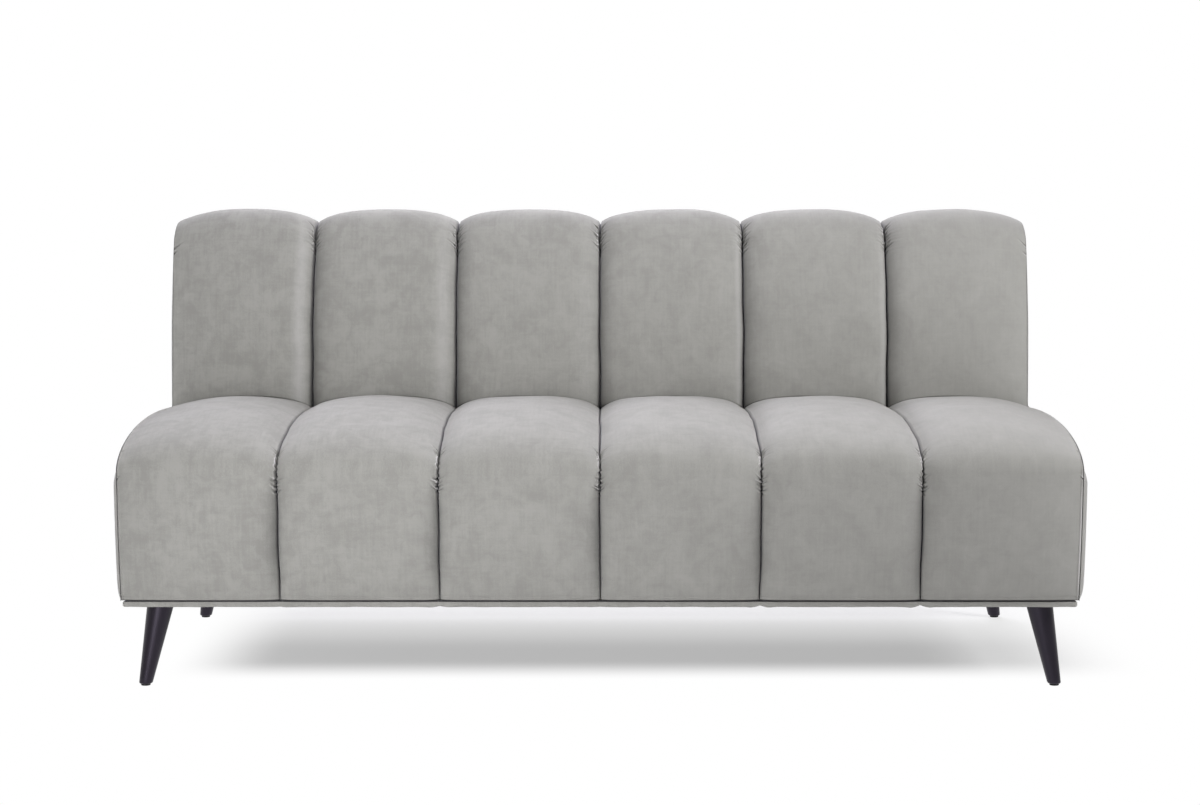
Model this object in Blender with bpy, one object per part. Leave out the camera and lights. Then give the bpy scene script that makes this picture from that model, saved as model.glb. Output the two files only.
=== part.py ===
"""Armless banquette: a timber seat box and back frame, sprung, foamed and covered in channelled velvet.

Metres, +Z up, X along the seat, +Y to the rear. Side-view points are (y, z), with y counted from the
line of the seams on the seat front. The last step centres the whole object over the origin.
"""

import math

import bmesh
import bpy
from mathutils import Vector

# Fits
FIT = 0.0003  # clearance left between two pieces that touch

# Channels
CHANNELS = 6
CHANNEL_PITCH = 0.283  # seam to seam
END_SEAM_INSET = 0.0023  # how far the end seams lie inside the last pitch line
ACROSS = 10  # facets across one channel

# Seat upholstery, side view
SEAT_DEPTH = 0.563  # seams of the seat front to seams of the back
SEAT_SEAM_HEIGHT = 0.457  # floor to the seams on top of the seat
SEAT_NOSE_RUN = 0.33  # length of the rounded front edge
SEAT_NOSE_DROP = 0.066  # height of the rounded front edge
SEAT_FRONT_TUCK = 0.0215  # how far the front face leans in at its foot
SEAT_REAR_DROP = 0.012  # how far the seat falls towards the back
SEAT_CROWN = 0.026  # swell of a seat channel above its seams
SEAT_HEM_CROWN = 0.004  # swell left at the foot of the front
SEAT_CROWN_SHAPE = (3.0, 0.7)  # powers of the swell across a channel
SEAT_PAD = 0.035  # thickness under the top seams
SEAT_FRONT_PAD = 0.036  # front seams to the face of the front rail
FOAM_NOSE_RUN = 0.16
FOAM_NOSE_DROP = 0.058

# Back upholstery, side view
BACK_STRAIGHT_TOP = 0.545  # floor to where the upright back starts to curve away
BACK_CURVE_RADIUS = 0.40
BACK_CURVE_ANGLE = math.radians(36)
BACK_ROLL_RADIUS = 0.08  # seams over the top of the back
BACK_CROWN = 0.028
BACK_LIP_CROWN = 0.006  # swell left where the channels end behind the top
BACK_CROWN_SHAPE = (2.4, 0.8)
BACK_PAD = 0.025
BACK_TUCK = 0.012  # back pads to the front of the spring rail

# Covers
END_PANEL = 0.005
OUTER_BACK = 0.005
OUTER_BACK_LEAN = 0.008
BAND_HEIGHT = 0.0125
BAND_WIDTH = 0.016
BAND_FRONT_WIDTH = 0.022  # the front strip reaches back under the front rail
BAND_FRONT_INSET = 0.003  # behind the swell at the foot of the seat front
BAND_SIDE_INSET = 0.003  # inside the end seams
DUST_COVER = 0.0012

# Timber frame
LEG_CLEARANCE = 0.1465  # floor to the base band
BOARD = 0.022  # thickness of the rails
HOUSING = 0.008  # depth of the slots that the rails are let into
RAIL_HEIGHT = 0.164
CROSS_RAIL_HEIGHT = 0.091
BACK_LOWER_RAIL_GAP = 0.022  # pull-through gap above the spring rail
BACK_LOWER_RAIL_HEIGHT = 0.065
TOP_RAIL_HEIGHT = 0.035
TOP_RAIL_DEPTH = 0.10
POST_WIDTH = 0.028
POST_SETBACK = 0.010  # front of a post behind the front of the top rail
CORNER_BLOCK_LEG = 0.125
CORNER_BLOCK_HEIGHT = 0.060

# Suspension
SPRINGS_PER_CHANNEL = 2
SPRING_WIRE = 0.0038
SPRING_WIDTH = 0.046
SPRING_BENDS = 18
SPRING_SEAT = 0.006  # how far the wire ends lie in from the outer edge of their rails
TIE_WIRE = 0.0026
TIE_WIRES = 2
DECK_PAD = 0.006
WEB_THICKNESS = 0.0025
WEB_STRAPS_PER_CHANNEL = 2
WEB_STRAP_WIDTH = 0.060
WEB_CROSS_STRAPS = 2

# Legs
LEG_TOP_DIAMETER = 0.050
LEG_FOOT_DIAMETER = 0.024
LEG_FOOT_CHAMFER = 0.003
LEG_SPLAY_X = 0.028  # foot outside the top, along the seat
LEG_SPLAY_Y = 0.020  # foot outside the top, front to rear
LEG_FROM_LONG_RAIL = 0.024  # leg centre to the inner face of the front or rear rail
LEG_FROM_SIDE_RAIL = 0.040
LEG_SIDES = 20
GLIDE_HEIGHT = 0.003
GLIDE_DIAMETER = 0.017
PLATE_SIZE = 0.058
PLATE_THICKNESS = 0.003
PLATE_SCREW_HOLE = 0.0045
PLATE_SCREW_INSET = 0.009
BOLT_DIAMETER = 0.008
BOLT_IN_LEG = 0.030
BOLT_IN_BLOCK = 0.045
BOLT_SIDES = 12
PLATE_BOLT_HOLE = 0.011

# Heights that follow
frame_bottom = LEG_CLEARANCE + BAND_HEIGHT
rail_top = frame_bottom + RAIL_HEIGHT
nose_foot = SEAT_SEAM_HEIGHT - SEAT_NOSE_DROP
pad_underside = SEAT_SEAM_HEIGHT - SEAT_PAD
plate_bottom = frame_bottom - FIT - PLATE_THICKNESS
spring_axis = rail_top + FIT + SPRING_WIRE / 2
deck_bottom = spring_axis + SPRING_WIRE / 2 + FIT
deck_top = deck_bottom + DECK_PAD
lower_rail_bottom = rail_top + BACK_LOWER_RAIL_GAP
lower_rail_top = lower_rail_bottom + BACK_LOWER_RAIL_HEIGHT

# Lengths that follow, half of the seat along X
half_length = CHANNELS * CHANNEL_PITCH / 2 - END_SEAM_INSET
frame_half = half_length - FIT
side_rail_inner = frame_half - BOARD
band_half = half_length - BAND_SIDE_INSET

# Side-view places that follow
back_seam = SEAT_DEPTH
curve_centre = Vector((back_seam + BACK_CURVE_RADIUS, BACK_STRAIGHT_TOP))
roll_centre = curve_centre + (BACK_CURVE_RADIUS - BACK_ROLL_RADIUS) * Vector(
    (-math.cos(BACK_CURVE_ANGLE), math.sin(BACK_CURVE_ANGLE))
)
lip_outer = roll_centre.x + BACK_ROLL_RADIUS
lip_inner = lip_outer - OUTER_BACK
front_rail_face = SEAT_FRONT_PAD + FIT
front_rail_inner = front_rail_face + BOARD
spring_rail_face = back_seam + BACK_PAD + BACK_TUCK
spring_rail_inner = spring_rail_face + BOARD
rear_rail_face = lip_inner - OUTER_BACK_LEAN - FIT
rear_rail_inner = rear_rail_face - BOARD
seat_rear = spring_rail_face - FIT
top_rail_top = roll_centre.y - FIT
top_rail_bottom = top_rail_top - TOP_RAIL_HEIGHT
top_rail_lean = OUTER_BACK_LEAN * (roll_centre.y - top_rail_bottom) / (roll_centre.y - frame_bottom)
top_rail_rear = lip_inner - top_rail_lean - FIT
top_rail_front = top_rail_rear - TOP_RAIL_DEPTH
post_top = top_rail_bottom - FIT
band_front = SEAT_FRONT_TUCK - SEAT_HEM_CROWN + BAND_FRONT_INSET
band_front_inner = band_front + BAND_FRONT_WIDTH
band_rear = rear_rail_face
band_top = frame_bottom - FIT

# Legs that follow
leg_top_x = side_rail_inner - LEG_FROM_SIDE_RAIL
leg_top_front = front_rail_inner + LEG_FROM_LONG_RAIL
leg_top_rear = rear_rail_inner - LEG_FROM_LONG_RAIL
leg_top = plate_bottom - FIT
leg_foot = GLIDE_HEIGHT + FIT


def material(name, colour, roughness, metallic=0.0):
    """A plain Principled material."""
    made = bpy.data.materials.new(name)
    made.use_nodes = True
    shader = made.node_tree.nodes["Principled BSDF"]
    shader.inputs["Base Color"].default_value = (*colour, 1.0)
    shader.inputs["Roughness"].default_value = roughness
    shader.inputs["Metallic"].default_value = metallic
    return made


def add_object(name, shape, finish, smooth=False):
    """Turns a bmesh into a named object under the root, with its faces pointing out."""
    bmesh.ops.recalc_face_normals(shape, faces=shape.faces)
    mesh = bpy.data.meshes.new(name)
    shape.to_mesh(mesh)
    shape.free()
    if smooth:
        mesh.shade_smooth()
        mesh.set_sharp_from_angle(angle=math.radians(40))
    mesh.materials.append(finish)
    made = bpy.data.objects.new(name, mesh)
    bpy.context.scene.collection.objects.link(made)
    made.parent = root
    return made


def loft_into(shape, rings):
    """Skins closed rings of equal count and caps both ends."""
    rows = [[shape.verts.new(point) for point in ring] for ring in rings]
    for low, high in zip(rows, rows[1:]):
        for k in range(len(low)):
            after = (k + 1) % len(low)
            shape.faces.new((low[k], low[after], high[after], high[k]))
    shape.faces.new(rows[0])
    shape.faces.new(rows[-1])


def loft(name, rings, finish, smooth=False):
    shape = bmesh.new()
    loft_into(shape, rings)
    return add_object(name, shape, finish, smooth)


def prism(name, outline, axis, low, high, finish):
    """An outline pushed along X, as (y, z) points, or along Z, as (x, y) points."""
    if axis == "X":
        rings = [[Vector((x, a, b)) for a, b in outline] for x in (low, high)]
    else:
        rings = [[Vector((a, b, z)) for a, b in outline] for z in (low, high)]
    return loft(name, rings, finish)


def box(name, xs, ys, zs, finish):
    outline = [(ys[0], zs[0]), (ys[1], zs[0]), (ys[1], zs[1]), (ys[0], zs[1])]
    return prism(name, outline, "X", xs[0], xs[1], finish)


def circle(centre, radius, sides, stretch=None):
    """Points round a level circle, drawn out along the stretch vector by its own length."""
    points = []
    for k in range(sides):
        turn = 2 * math.pi * k / sides
        arm = Vector((math.cos(turn), math.sin(turn), 0)) * radius
        if stretch is not None:
            along = stretch.normalized()
            arm += along * arm.dot(along) * stretch.length
        points.append(Vector(centre) + arm)
    return points


def cut(target, rings_list):
    """Takes the lofts away from the target with one hidden cutter."""
    shape = bmesh.new()
    for rings in rings_list:
        loft_into(shape, rings)
    cutter = add_object(target.name + "_cutter", shape, timber)
    cutter.hide_render = True
    cutter.display_type = "WIRE"
    tool = target.modifiers.new("cut", "BOOLEAN")
    tool.operation = "DIFFERENCE"
    tool.object = cutter


def box_rings(xs, ys, zs):
    """Two rings for a box-shaped cutter."""
    outline = [(ys[0], zs[0]), (ys[1], zs[0]), (ys[1], zs[1]), (ys[0], zs[1])]
    return [[Vector((x, y, z)) for y, z in outline] for x in xs]


# Side view of the upholstery. A station holds a seam point, the way the pad swells there, how much it
# swells, and the matching point on the pad's inner face.


def seat_seam_z(y):
    """Height of the seat's top seams behind the rounded front edge."""
    share = (y - SEAT_NOSE_RUN) / (seat_rear - SEAT_NOSE_RUN)
    return SEAT_SEAM_HEIGHT - SEAT_REAR_DROP * max(0.0, share) ** 2


def seat_stations(top_steps=4, nose_steps=9, front_steps=6):
    stations = []
    foam_nose_end = SEAT_FRONT_PAD + FOAM_NOSE_RUN
    for k in range(top_steps):
        share = k / top_steps
        y = seat_rear + (SEAT_NOSE_RUN - seat_rear) * share
        inner_y = seat_rear + (foam_nose_end - seat_rear) * share
        stations.append(((y, seat_seam_z(y)), (0.0, 1.0), SEAT_CROWN, (inner_y, pad_underside)))
    for k in range(nose_steps + 1):
        turn = math.pi / 2 * k / nose_steps
        seam = (SEAT_NOSE_RUN * (1 - math.sin(turn)), nose_foot + SEAT_NOSE_DROP * math.cos(turn))
        swell = Vector((-math.sin(turn) / SEAT_NOSE_RUN, math.cos(turn) / SEAT_NOSE_DROP)).normalized()
        inner = (
            SEAT_FRONT_PAD + FOAM_NOSE_RUN * (1 - math.sin(turn)),
            pad_underside - FOAM_NOSE_DROP * (1 - math.cos(turn)),
        )
        stations.append((seam, tuple(swell), SEAT_CROWN, inner))
    for k in range(1, front_steps + 1):
        share = k / front_steps
        seam = (SEAT_FRONT_TUCK * share**2, nose_foot + (frame_bottom - nose_foot) * share)
        inner_z = pad_underside - FOAM_NOSE_DROP
        inner = (SEAT_FRONT_PAD, inner_z + (frame_bottom - inner_z) * share)
        crown = SEAT_HEM_CROWN + (SEAT_CROWN - SEAT_HEM_CROWN) * (1 - share**3)
        stations.append((seam, (-1.0, 0.0), crown, inner))
    return stations


def back_stations(straight_steps=3, curve_steps=6, roll_steps=9):
    stations = []
    start = SEAT_SEAM_HEIGHT + SEAT_CROWN + BACK_PAD
    rise = (BACK_STRAIGHT_TOP - start) / (straight_steps - 1)
    for k in range(straight_steps):
        z = SEAT_SEAM_HEIGHT if k == 0 else start + rise * (k - 1)
        stations.append(((back_seam, z), (-1.0, 0.0), BACK_CROWN, (back_seam + BACK_PAD, z)))
    for k in range(curve_steps):
        turn = BACK_CURVE_ANGLE * k / curve_steps
        stations.append(arc_station(curve_centre, BACK_CURVE_RADIUS, turn, BACK_CROWN))
    for k in range(roll_steps + 1):
        turn = BACK_CURVE_ANGLE + (math.pi - BACK_CURVE_ANGLE) * k / roll_steps
        behind = max(0.0, -math.cos(turn))
        crown = BACK_CROWN + (BACK_LIP_CROWN - BACK_CROWN) * behind
        stations.append(arc_station(roll_centre, BACK_ROLL_RADIUS, turn, crown))
    return stations


def arc_station(centre, radius, turn, crown):
    """A station on an arc of the back. Behind the top, the pad thins to the outer back's thickness."""
    swell = Vector((-math.cos(turn), math.sin(turn)))
    thin = BACK_PAD if turn <= math.pi / 2 else OUTER_BACK
    inner = (centre.x + swell.x * (radius - thin), centre.y + swell.y * (radius - BACK_PAD))
    return (tuple(centre + swell * radius), tuple(swell), crown, inner)


def swell_across(share, shape):
    """How full a channel is at a share of its half width: 1 in the middle, 0 at the seams."""
    return max(0.0, 1 - abs(share) ** shape[0]) ** shape[1]


def channel_edges(number):
    """X of the two seams of a channel, counted from the left."""
    left = (number - CHANNELS / 2) * CHANNEL_PITCH
    right = left + CHANNEL_PITCH
    return max(left, -half_length), min(right, half_length)


def channel_pad(name, number, stations, shape_powers, foot=None):
    """One velvet channel. foot(share, y) gives the height of what its first ring rests on."""
    left, right = channel_edges(number)
    half = (right - left - FIT) / 2
    middle = (right + left) / 2
    shares = [math.sin(math.pi / 2 * (2 * k / ACROSS - 1)) for k in range(ACROSS + 1)]
    shape = bmesh.new()
    rows = []
    for seam, swell, crown, inner in stations:
        row = []
        for share in shares:
            rise = crown * swell_across(share, shape_powers)
            y = seam[0] + swell[0] * rise
            z = seam[1] + swell[1] * rise
            if foot and not rows:
                z = foot(share, y) + FIT
            row.append(shape.verts.new((middle + share * half, y, z)))
        ends = [1.0, -1.0]
        if foot and not rows:
            ends = shares[::-1]
        for share in ends:
            z = foot(share, inner[0]) + FIT if foot and not rows else inner[1]
            row.append(shape.verts.new((middle + share * half, inner[0], z)))
        rows.append(row)
    top = ACROSS + 1
    for low, high in zip(rows, rows[1:]):
        for k in range(ACROSS):
            shape.faces.new((low[k], low[k + 1], high[k + 1], high[k]))
        shape.faces.new((low[ACROSS], low[top], high[top], high[ACROSS]))
        shape.faces.new((low[-1], low[0], high[0], high[-1]))
        shape.faces.new(low[top:] + high[:top - 1:-1])
    if foot:
        first = rows[0]
        for k in range(ACROSS):
            shape.faces.new((first[k], first[k + 1], first[-2 - k], first[-1 - k]))
    else:
        shape.faces.new(rows[0])
    shape.faces.new(rows[-1])
    add_object(name, shape, velvet, smooth=True)


def seat_top(share, y):
    """Height of the seat's surface behind its rounded front edge."""
    return seat_seam_z(y) + SEAT_CROWN * swell_across(share, SEAT_CROWN_SHAPE)


def build_channels():
    for number in range(CHANNELS):
        channel_pad(f"seat_channel_{number + 1}", number, seat_stations(), SEAT_CROWN_SHAPE)
        channel_pad(f"back_channel_{number + 1}", number, back_stations(), BACK_CROWN_SHAPE, seat_top)


def outer_back_y(z):
    """Front face of the outer back panel at a height."""
    share = (z - frame_bottom) / (roll_centre.y - frame_bottom)
    return rear_rail_face + FIT + OUTER_BACK_LEAN * share


def build_covers():
    """End panels, outer back, base band and dust cover."""
    parting = seat_seam_z(back_seam)
    inner, outer = half_length + FIT, half_length + FIT + END_PANEL
    seat_outline = [seam for seam, _, _, _ in seat_stations() if seam[0] < back_seam]
    seat_outline.append((outer_back_y(frame_bottom) + OUTER_BACK, frame_bottom))
    seat_outline.append((outer_back_y(parting) + OUTER_BACK, parting))
    seat_outline.append((back_seam, parting))
    back_outline = [seam for seam, _, _, _ in back_stations()[1:]]
    back_outline.append((outer_back_y(parting) + OUTER_BACK, parting + FIT))
    back_outline.append((back_seam, parting + FIT))
    for side, low, high in (("left", -outer, -inner), ("right", inner, outer)):
        prism(f"seat_end_panel_{side}", seat_outline, "X", low, high, velvet)
        prism(f"back_end_panel_{side}", back_outline, "X", low, high, velvet)
    low, high = frame_bottom, roll_centre.y - FIT
    corners = ((0, low), (OUTER_BACK, low), (OUTER_BACK, high), (0, high))
    outline = [(outer_back_y(z) + y, z) for y, z in corners]
    prism("outer_back_panel", outline, "X", -half_length, half_length, velvet)
    build_band()
    build_dust_cover()


def build_band():
    """Four velvet-wrapped strips under the seat box. The side strips fit between the long ones."""
    zs = (LEG_CLEARANCE, band_top)
    long_xs = (-band_half, band_half)
    box("base_band_front", long_xs, (band_front, band_front_inner), zs, velvet)
    box("base_band_rear", long_xs, (band_rear - BAND_WIDTH, band_rear), zs, velvet)
    side_ys = (band_front_inner + FIT, band_rear - BAND_WIDTH - FIT)
    box("base_band_left", (-band_half, BAND_WIDTH - band_half), side_ys, zs, velvet)
    box("base_band_right", (band_half - BAND_WIDTH, band_half), side_ys, zs, velvet)


def build_dust_cover():
    """A sheet inside the band, notched at its corners round the leg plates."""
    edge_x = band_half - BAND_WIDTH - FIT
    front, rear = band_front_inner + FIT, band_rear - BAND_WIDTH - FIT
    notch_x = leg_top_x - PLATE_SIZE / 2 - FIT
    notch_front = leg_top_front + PLATE_SIZE / 2 + FIT
    notch_rear = leg_top_rear - PLATE_SIZE / 2 - FIT
    right = [
        (notch_x, front),
        (notch_x, notch_front),
        (edge_x, notch_front),
        (edge_x, notch_rear),
        (notch_x, notch_rear),
        (notch_x, rear),
    ]
    left = [(-x, y) for x, y in reversed(right)]
    prism("dust_cover", right + left, "Z", frame_bottom - FIT - DUST_COVER, frame_bottom - FIT, cambric)


def build_seat_box():
    """Front and rear rails slotted for the side and cross rails, and the spring rail on the cross rails."""
    zs = (frame_bottom, rail_top)
    long_xs = (-frame_half, frame_half)
    front = box("seat_front_rail", long_xs, (front_rail_face, front_rail_inner), zs, timber)
    rear = box("seat_rear_rail", long_xs, (rear_rail_inner, rear_rail_face), zs, timber)
    side_ys = (front_rail_inner - HOUSING + FIT, rear_rail_inner + HOUSING - FIT)
    box("seat_side_rail_left", (-frame_half, -side_rail_inner), side_ys, zs, timber)
    box("seat_side_rail_right", (side_rail_inner, frame_half), side_ys, zs, timber)
    cross_zs = (frame_bottom, frame_bottom + CROSS_RAIL_HEIGHT)
    for side, middle in (("left", -CHANNEL_PITCH), ("right", CHANNEL_PITCH)):
        xs = (middle - BOARD / 2, middle + BOARD / 2)
        box(f"seat_cross_rail_{side}", xs, side_ys, cross_zs, timber)
    over = BOARD
    for rail, ys in (
        (front, (front_rail_inner - HOUSING, front_rail_inner + over)),
        (rear, (rear_rail_inner - over, rear_rail_inner + HOUSING)),
    ):
        slots = []
        for sign in (-1, 1):
            edge = sorted((sign * (side_rail_inner - FIT), sign * (frame_half + over)))
            slots.append(box_rings(edge, ys, (frame_bottom - over, rail_top + over)))
            middle = sign * CHANNEL_PITCH
            xs = (middle - BOARD / 2 - FIT, middle + BOARD / 2 + FIT)
            slots.append(box_rings(xs, ys, (frame_bottom - over, cross_zs[1] + FIT)))
        cut(rail, slots)
    spring_xs = (FIT - side_rail_inner, side_rail_inner - FIT)
    spring_ys = (spring_rail_face, spring_rail_inner)
    box("seat_spring_rail", spring_xs, spring_ys, (cross_zs[1] + FIT, rail_top), timber)


def build_back_frame():
    """Posts let in between the spring rail and the rear rail, with a lower rail and a top rail."""
    foot_front, foot_rear = spring_rail_inner + FIT, rear_rail_inner - FIT
    lap = rail_top + FIT
    upper = [
        (foot_rear, lap),
        (rear_rail_face, lap),
        (rear_rail_face, post_top),
        (top_rail_front + POST_SETBACK, post_top),
        (foot_front, lower_rail_top),
    ]
    end_foot = frame_bottom + CORNER_BLOCK_HEIGHT + FIT
    end_x = side_rail_inner - FIT - POST_WIDTH
    mid_x = CHANNEL_PITCH + BOARD / 2 + FIT
    for name, near, foot in (("end", end_x, end_foot), ("mid", mid_x, frame_bottom)):
        outline = [(foot_front, foot), (foot_rear, foot), *upper]
        for side, low in (("left", -near - POST_WIDTH), ("right", near)):
            prism(f"back_{name}_post_{side}", outline, "X", low, low + POST_WIDTH, timber)
    long_xs = (-frame_half, frame_half)
    lower_ys = (spring_rail_face, spring_rail_inner)
    box("back_lower_rail", long_xs, lower_ys, (lower_rail_bottom, lower_rail_top), timber)
    top_ys = (top_rail_front, top_rail_rear)
    box("back_top_rail", long_xs, top_ys, (top_rail_bottom, top_rail_top), timber)


def web_front(z):
    """Front face of the back webbing at a height."""
    foot = spring_rail_face + WEB_THICKNESS
    share = (z - lower_rail_top) / (post_top - lower_rail_top)
    return foot + (top_rail_front - foot) * share


def build_foam():
    """Seat core with a rounded nose, and the back foam that folds over the top rail."""
    core = [inner for _, _, _, inner in seat_stations() if inner[1] >= pad_underside - FOAM_NOSE_DROP]
    core = [(y + FIT, z - FIT) for y, z in core if y < seat_rear]
    core += [(SEAT_FRONT_PAD + FIT, deck_top + FIT), (seat_rear, deck_top + FIT)]
    core.append((seat_rear, pad_underside - FIT))
    prism("seat_foam_core", core, "X", -frame_half, frame_half, foam)
    foot = seat_top(0, back_seam) + 2 * FIT
    fold = [(back_seam + BACK_PAD + FIT, foot)]
    for seam, swell, _, inner in back_stations()[1:]:
        if inner[1] > foot:
            fold.append((inner[0] - swell[0] * FIT, inner[1] - swell[1] * FIT))
    fold += [(top_rail_front - FIT, roll_centre.y), (top_rail_front - FIT, post_top)]
    fold.append((web_front(foot) - FIT, foot))
    prism("back_foam", fold, "X", -frame_half, frame_half, foam)


def zigzag(x):
    """Level route of one sinuous spring, from the front rail to the spring rail."""
    front, rear = front_rail_face + SPRING_SEAT, spring_rail_inner - SPRING_SEAT
    first, last = front_rail_inner + SPRING_SEAT, spring_rail_face - SPRING_SEAT
    pitch = (last - first) / SPRING_BENDS
    points = [(x, front), (x, first)]
    for k in range(SPRING_BENDS):
        side = x + (SPRING_WIDTH / 2) * (1 if k % 2 else -1)
        points += [(side, first + pitch * k), (side, first + pitch * (k + 1))]
    points += [(x, last), (x, rear)]
    return points


def wire_into(shape, points, diameter, height):
    """A four-sided wire along a level route, mitred at its corners."""
    radius = diameter / 2
    rings = []
    for k, point in enumerate(points):
        here = Vector(point)
        into = (here - Vector(points[k - 1])).normalized() if k else None
        out = (Vector(points[k + 1]) - here).normalized() if k + 1 < len(points) else into
        into = into or out
        normal = Vector((-into.y - out.y, into.x + out.x)).normalized()
        miter = normal * radius / max(0.5, normal.dot(Vector((-into.y, into.x))))
        side, up = Vector((*miter, 0)), Vector((0, 0, radius))
        middle = Vector((*here, height))
        rings.append([middle + side, middle + up, middle - side, middle - up])
    loft_into(shape, rings)


def build_suspension():
    """Sinuous springs joined by tie wires, the pad over them, and the webbing of the back."""
    springs, ties = bmesh.new(), bmesh.new()
    count = CHANNELS * SPRINGS_PER_CHANNEL
    pitch = CHANNEL_PITCH / SPRINGS_PER_CHANNEL
    for k in range(count):
        wire_into(springs, zigzag((k - (count - 1) / 2) * pitch), SPRING_WIRE, spring_axis)
    first, last = front_rail_inner + SPRING_SEAT, spring_rail_face - SPRING_SEAT
    reach = pitch * (count - 1) / 2 + SPRING_WIDTH / 2 + SPRING_WIRE
    for k in range(TIE_WIRES):
        bend = round(SPRING_BENDS * (k + 1) / (TIE_WIRES + 1)) + 0.5
        y = first + (last - first) / SPRING_BENDS * bend
        wire_into(ties, [(-reach, y), (reach, y)], TIE_WIRE, spring_axis)
    unit = add_object("seat_spring_unit", springs, steel)
    tie_set = add_object("seat_tie_wires", ties, steel)
    tie_set.hide_render = True
    tie_set.display_type = "WIRE"
    join = unit.modifiers.new("join", "BOOLEAN")
    join.operation = "UNION"
    join.object = tie_set
    deck_ys = (front_rail_face, seat_rear)
    box("seat_deck_pad", (-frame_half, frame_half), deck_ys, (deck_bottom, deck_top), felt)
    build_webbing()


def build_webbing():
    """Upright straps from the lower rail to the top rail with cross straps, as one stitched mat."""
    count = CHANNELS * WEB_STRAPS_PER_CHANNEL
    pitch = CHANNEL_PITCH / WEB_STRAPS_PER_CHANNEL
    xs = []
    for k in range(count):
        middle = (k - (count - 1) / 2) * pitch
        xs += [middle - WEB_STRAP_WIDTH / 2, middle + WEB_STRAP_WIDTH / 2]
    low, high = lower_rail_top + FIT, post_top - FIT
    zs = [low]
    for k in range(WEB_CROSS_STRAPS):
        middle = low + (high - low) * (k + 1) / (WEB_CROSS_STRAPS + 1)
        zs += [middle - WEB_STRAP_WIDTH / 2, middle + WEB_STRAP_WIDTH / 2]
    zs.append(high)
    shape = bmesh.new()
    grid = [[shape.verts.new((x, web_front(z), z)) for z in zs] for x in xs]
    for column in range(len(xs) - 1):
        for row in range(len(zs) - 1):
            if column % 2 == 0 or row % 2 == 1:
                near, far = grid[column], grid[column + 1]
                shape.faces.new((near[row], far[row], far[row + 1], near[row + 1]))
    mat = bmesh.ops.extrude_face_region(shape, geom=shape.faces[:])
    moved = [item for item in mat["geom"] if isinstance(item, bmesh.types.BMVert)]
    bmesh.ops.translate(shape, verts=moved, vec=(0, WEB_THICKNESS, 0))
    add_object("back_webbing", shape, felt)


def leg_axis(sign_x, end):
    """Top centre of a leg and how far its axis moves sideways for each metre down."""
    y, sign_y = (leg_top_front, -1) if end == "front" else (leg_top_rear, 1)
    drop = leg_top - GLIDE_HEIGHT
    splay = Vector((sign_x * LEG_SPLAY_X, sign_y * LEG_SPLAY_Y, 0))
    return Vector((sign_x * leg_top_x, y, leg_top)), splay / drop


def build_leg(name, sign_x, end):
    """A turned leg with its foot cut level, and its bolt, plate, corner block and glide."""
    top, lean = leg_axis(sign_x, end)

    def on_axis(z):
        return Vector((top.x, top.y, z)) + lean * (top.z - z)

    stretch = lean.normalized() * (math.sqrt(1 + lean.length_squared) - 1)
    bore = BOLT_DIAMETER / 2 + FIT
    foot = LEG_FOOT_DIAMETER / 2
    rings = [
        circle(on_axis(leg_foot), foot - LEG_FOOT_CHAMFER, LEG_SIDES, stretch),
        circle(on_axis(leg_foot + LEG_FOOT_CHAMFER), foot, LEG_SIDES, stretch),
        circle(top, LEG_TOP_DIAMETER / 2, LEG_SIDES, stretch),
        circle(top, bore, LEG_SIDES),
        circle(on_axis(leg_top - BOLT_IN_LEG - FIT), bore, LEG_SIDES),
    ]
    loft(f"leg_{name}", rings, lacquer, smooth=True)
    glide = on_axis(leg_foot)
    glide_rings = [
        circle((glide.x, glide.y, z), GLIDE_DIAMETER / 2, LEG_SIDES) for z in (0, GLIDE_HEIGHT)
    ]
    loft(f"leg_glide_{name}", glide_rings, nylon, smooth=True)
    ends = (leg_top - BOLT_IN_LEG, frame_bottom + BOLT_IN_BLOCK)
    bolt_rings = [circle(on_axis(z), BOLT_DIAMETER / 2, BOLT_SIDES) for z in ends]
    loft(f"leg_bolt_{name}", bolt_rings, steel, smooth=True)
    build_plate(name, top)
    block_top = frame_bottom + CORNER_BLOCK_HEIGHT
    build_corner_block(name, sign_x, end, [on_axis(z) for z in (leg_top, block_top + BOARD)])


def build_plate(name, top):
    """A steel plate with a clearance hole for the bolt and four screw holes."""
    reach = PLATE_SIZE / 2
    xs, ys = (top.x - reach, top.x + reach), (top.y - reach, top.y + reach)
    plate = box(f"leg_plate_{name}", xs, ys, (plate_bottom, plate_bottom + PLATE_THICKNESS), steel)
    spread = reach - PLATE_SCREW_INSET
    holes = [((top.x, top.y), PLATE_BOLT_HOLE)]
    for a, b in ((-1, -1), (-1, 1), (1, -1), (1, 1)):
        holes.append(((top.x + a * spread, top.y + b * spread), PLATE_SCREW_HOLE))
    cutters = []
    for (x, y), diameter in holes:
        heights = (plate_bottom - PLATE_THICKNESS, plate_bottom + 2 * PLATE_THICKNESS)
        cutters.append([circle((x, y, z), diameter / 2, BOLT_SIDES) for z in heights])
    cut(plate, cutters)


def build_corner_block(name, sign_x, end, axis_points):
    """A three-cornered block glued into the seat box, bored for the leg bolt."""
    x = sign_x * (side_rail_inner - FIT)
    if end == "front":
        y, away = front_rail_inner + FIT, CORNER_BLOCK_LEG
    else:
        y, away = rear_rail_inner - FIT, -CORNER_BLOCK_LEG
    outline = [(x, y), (x - sign_x * CORNER_BLOCK_LEG, y), (x, y + away)]
    top = frame_bottom + CORNER_BLOCK_HEIGHT
    block = prism(f"corner_block_{name}", outline, "Z", frame_bottom, top, timber)
    bore = BOLT_DIAMETER / 2 + FIT
    cut(block, [[circle(point, bore, BOLT_SIDES) for point in axis_points]])


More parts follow.
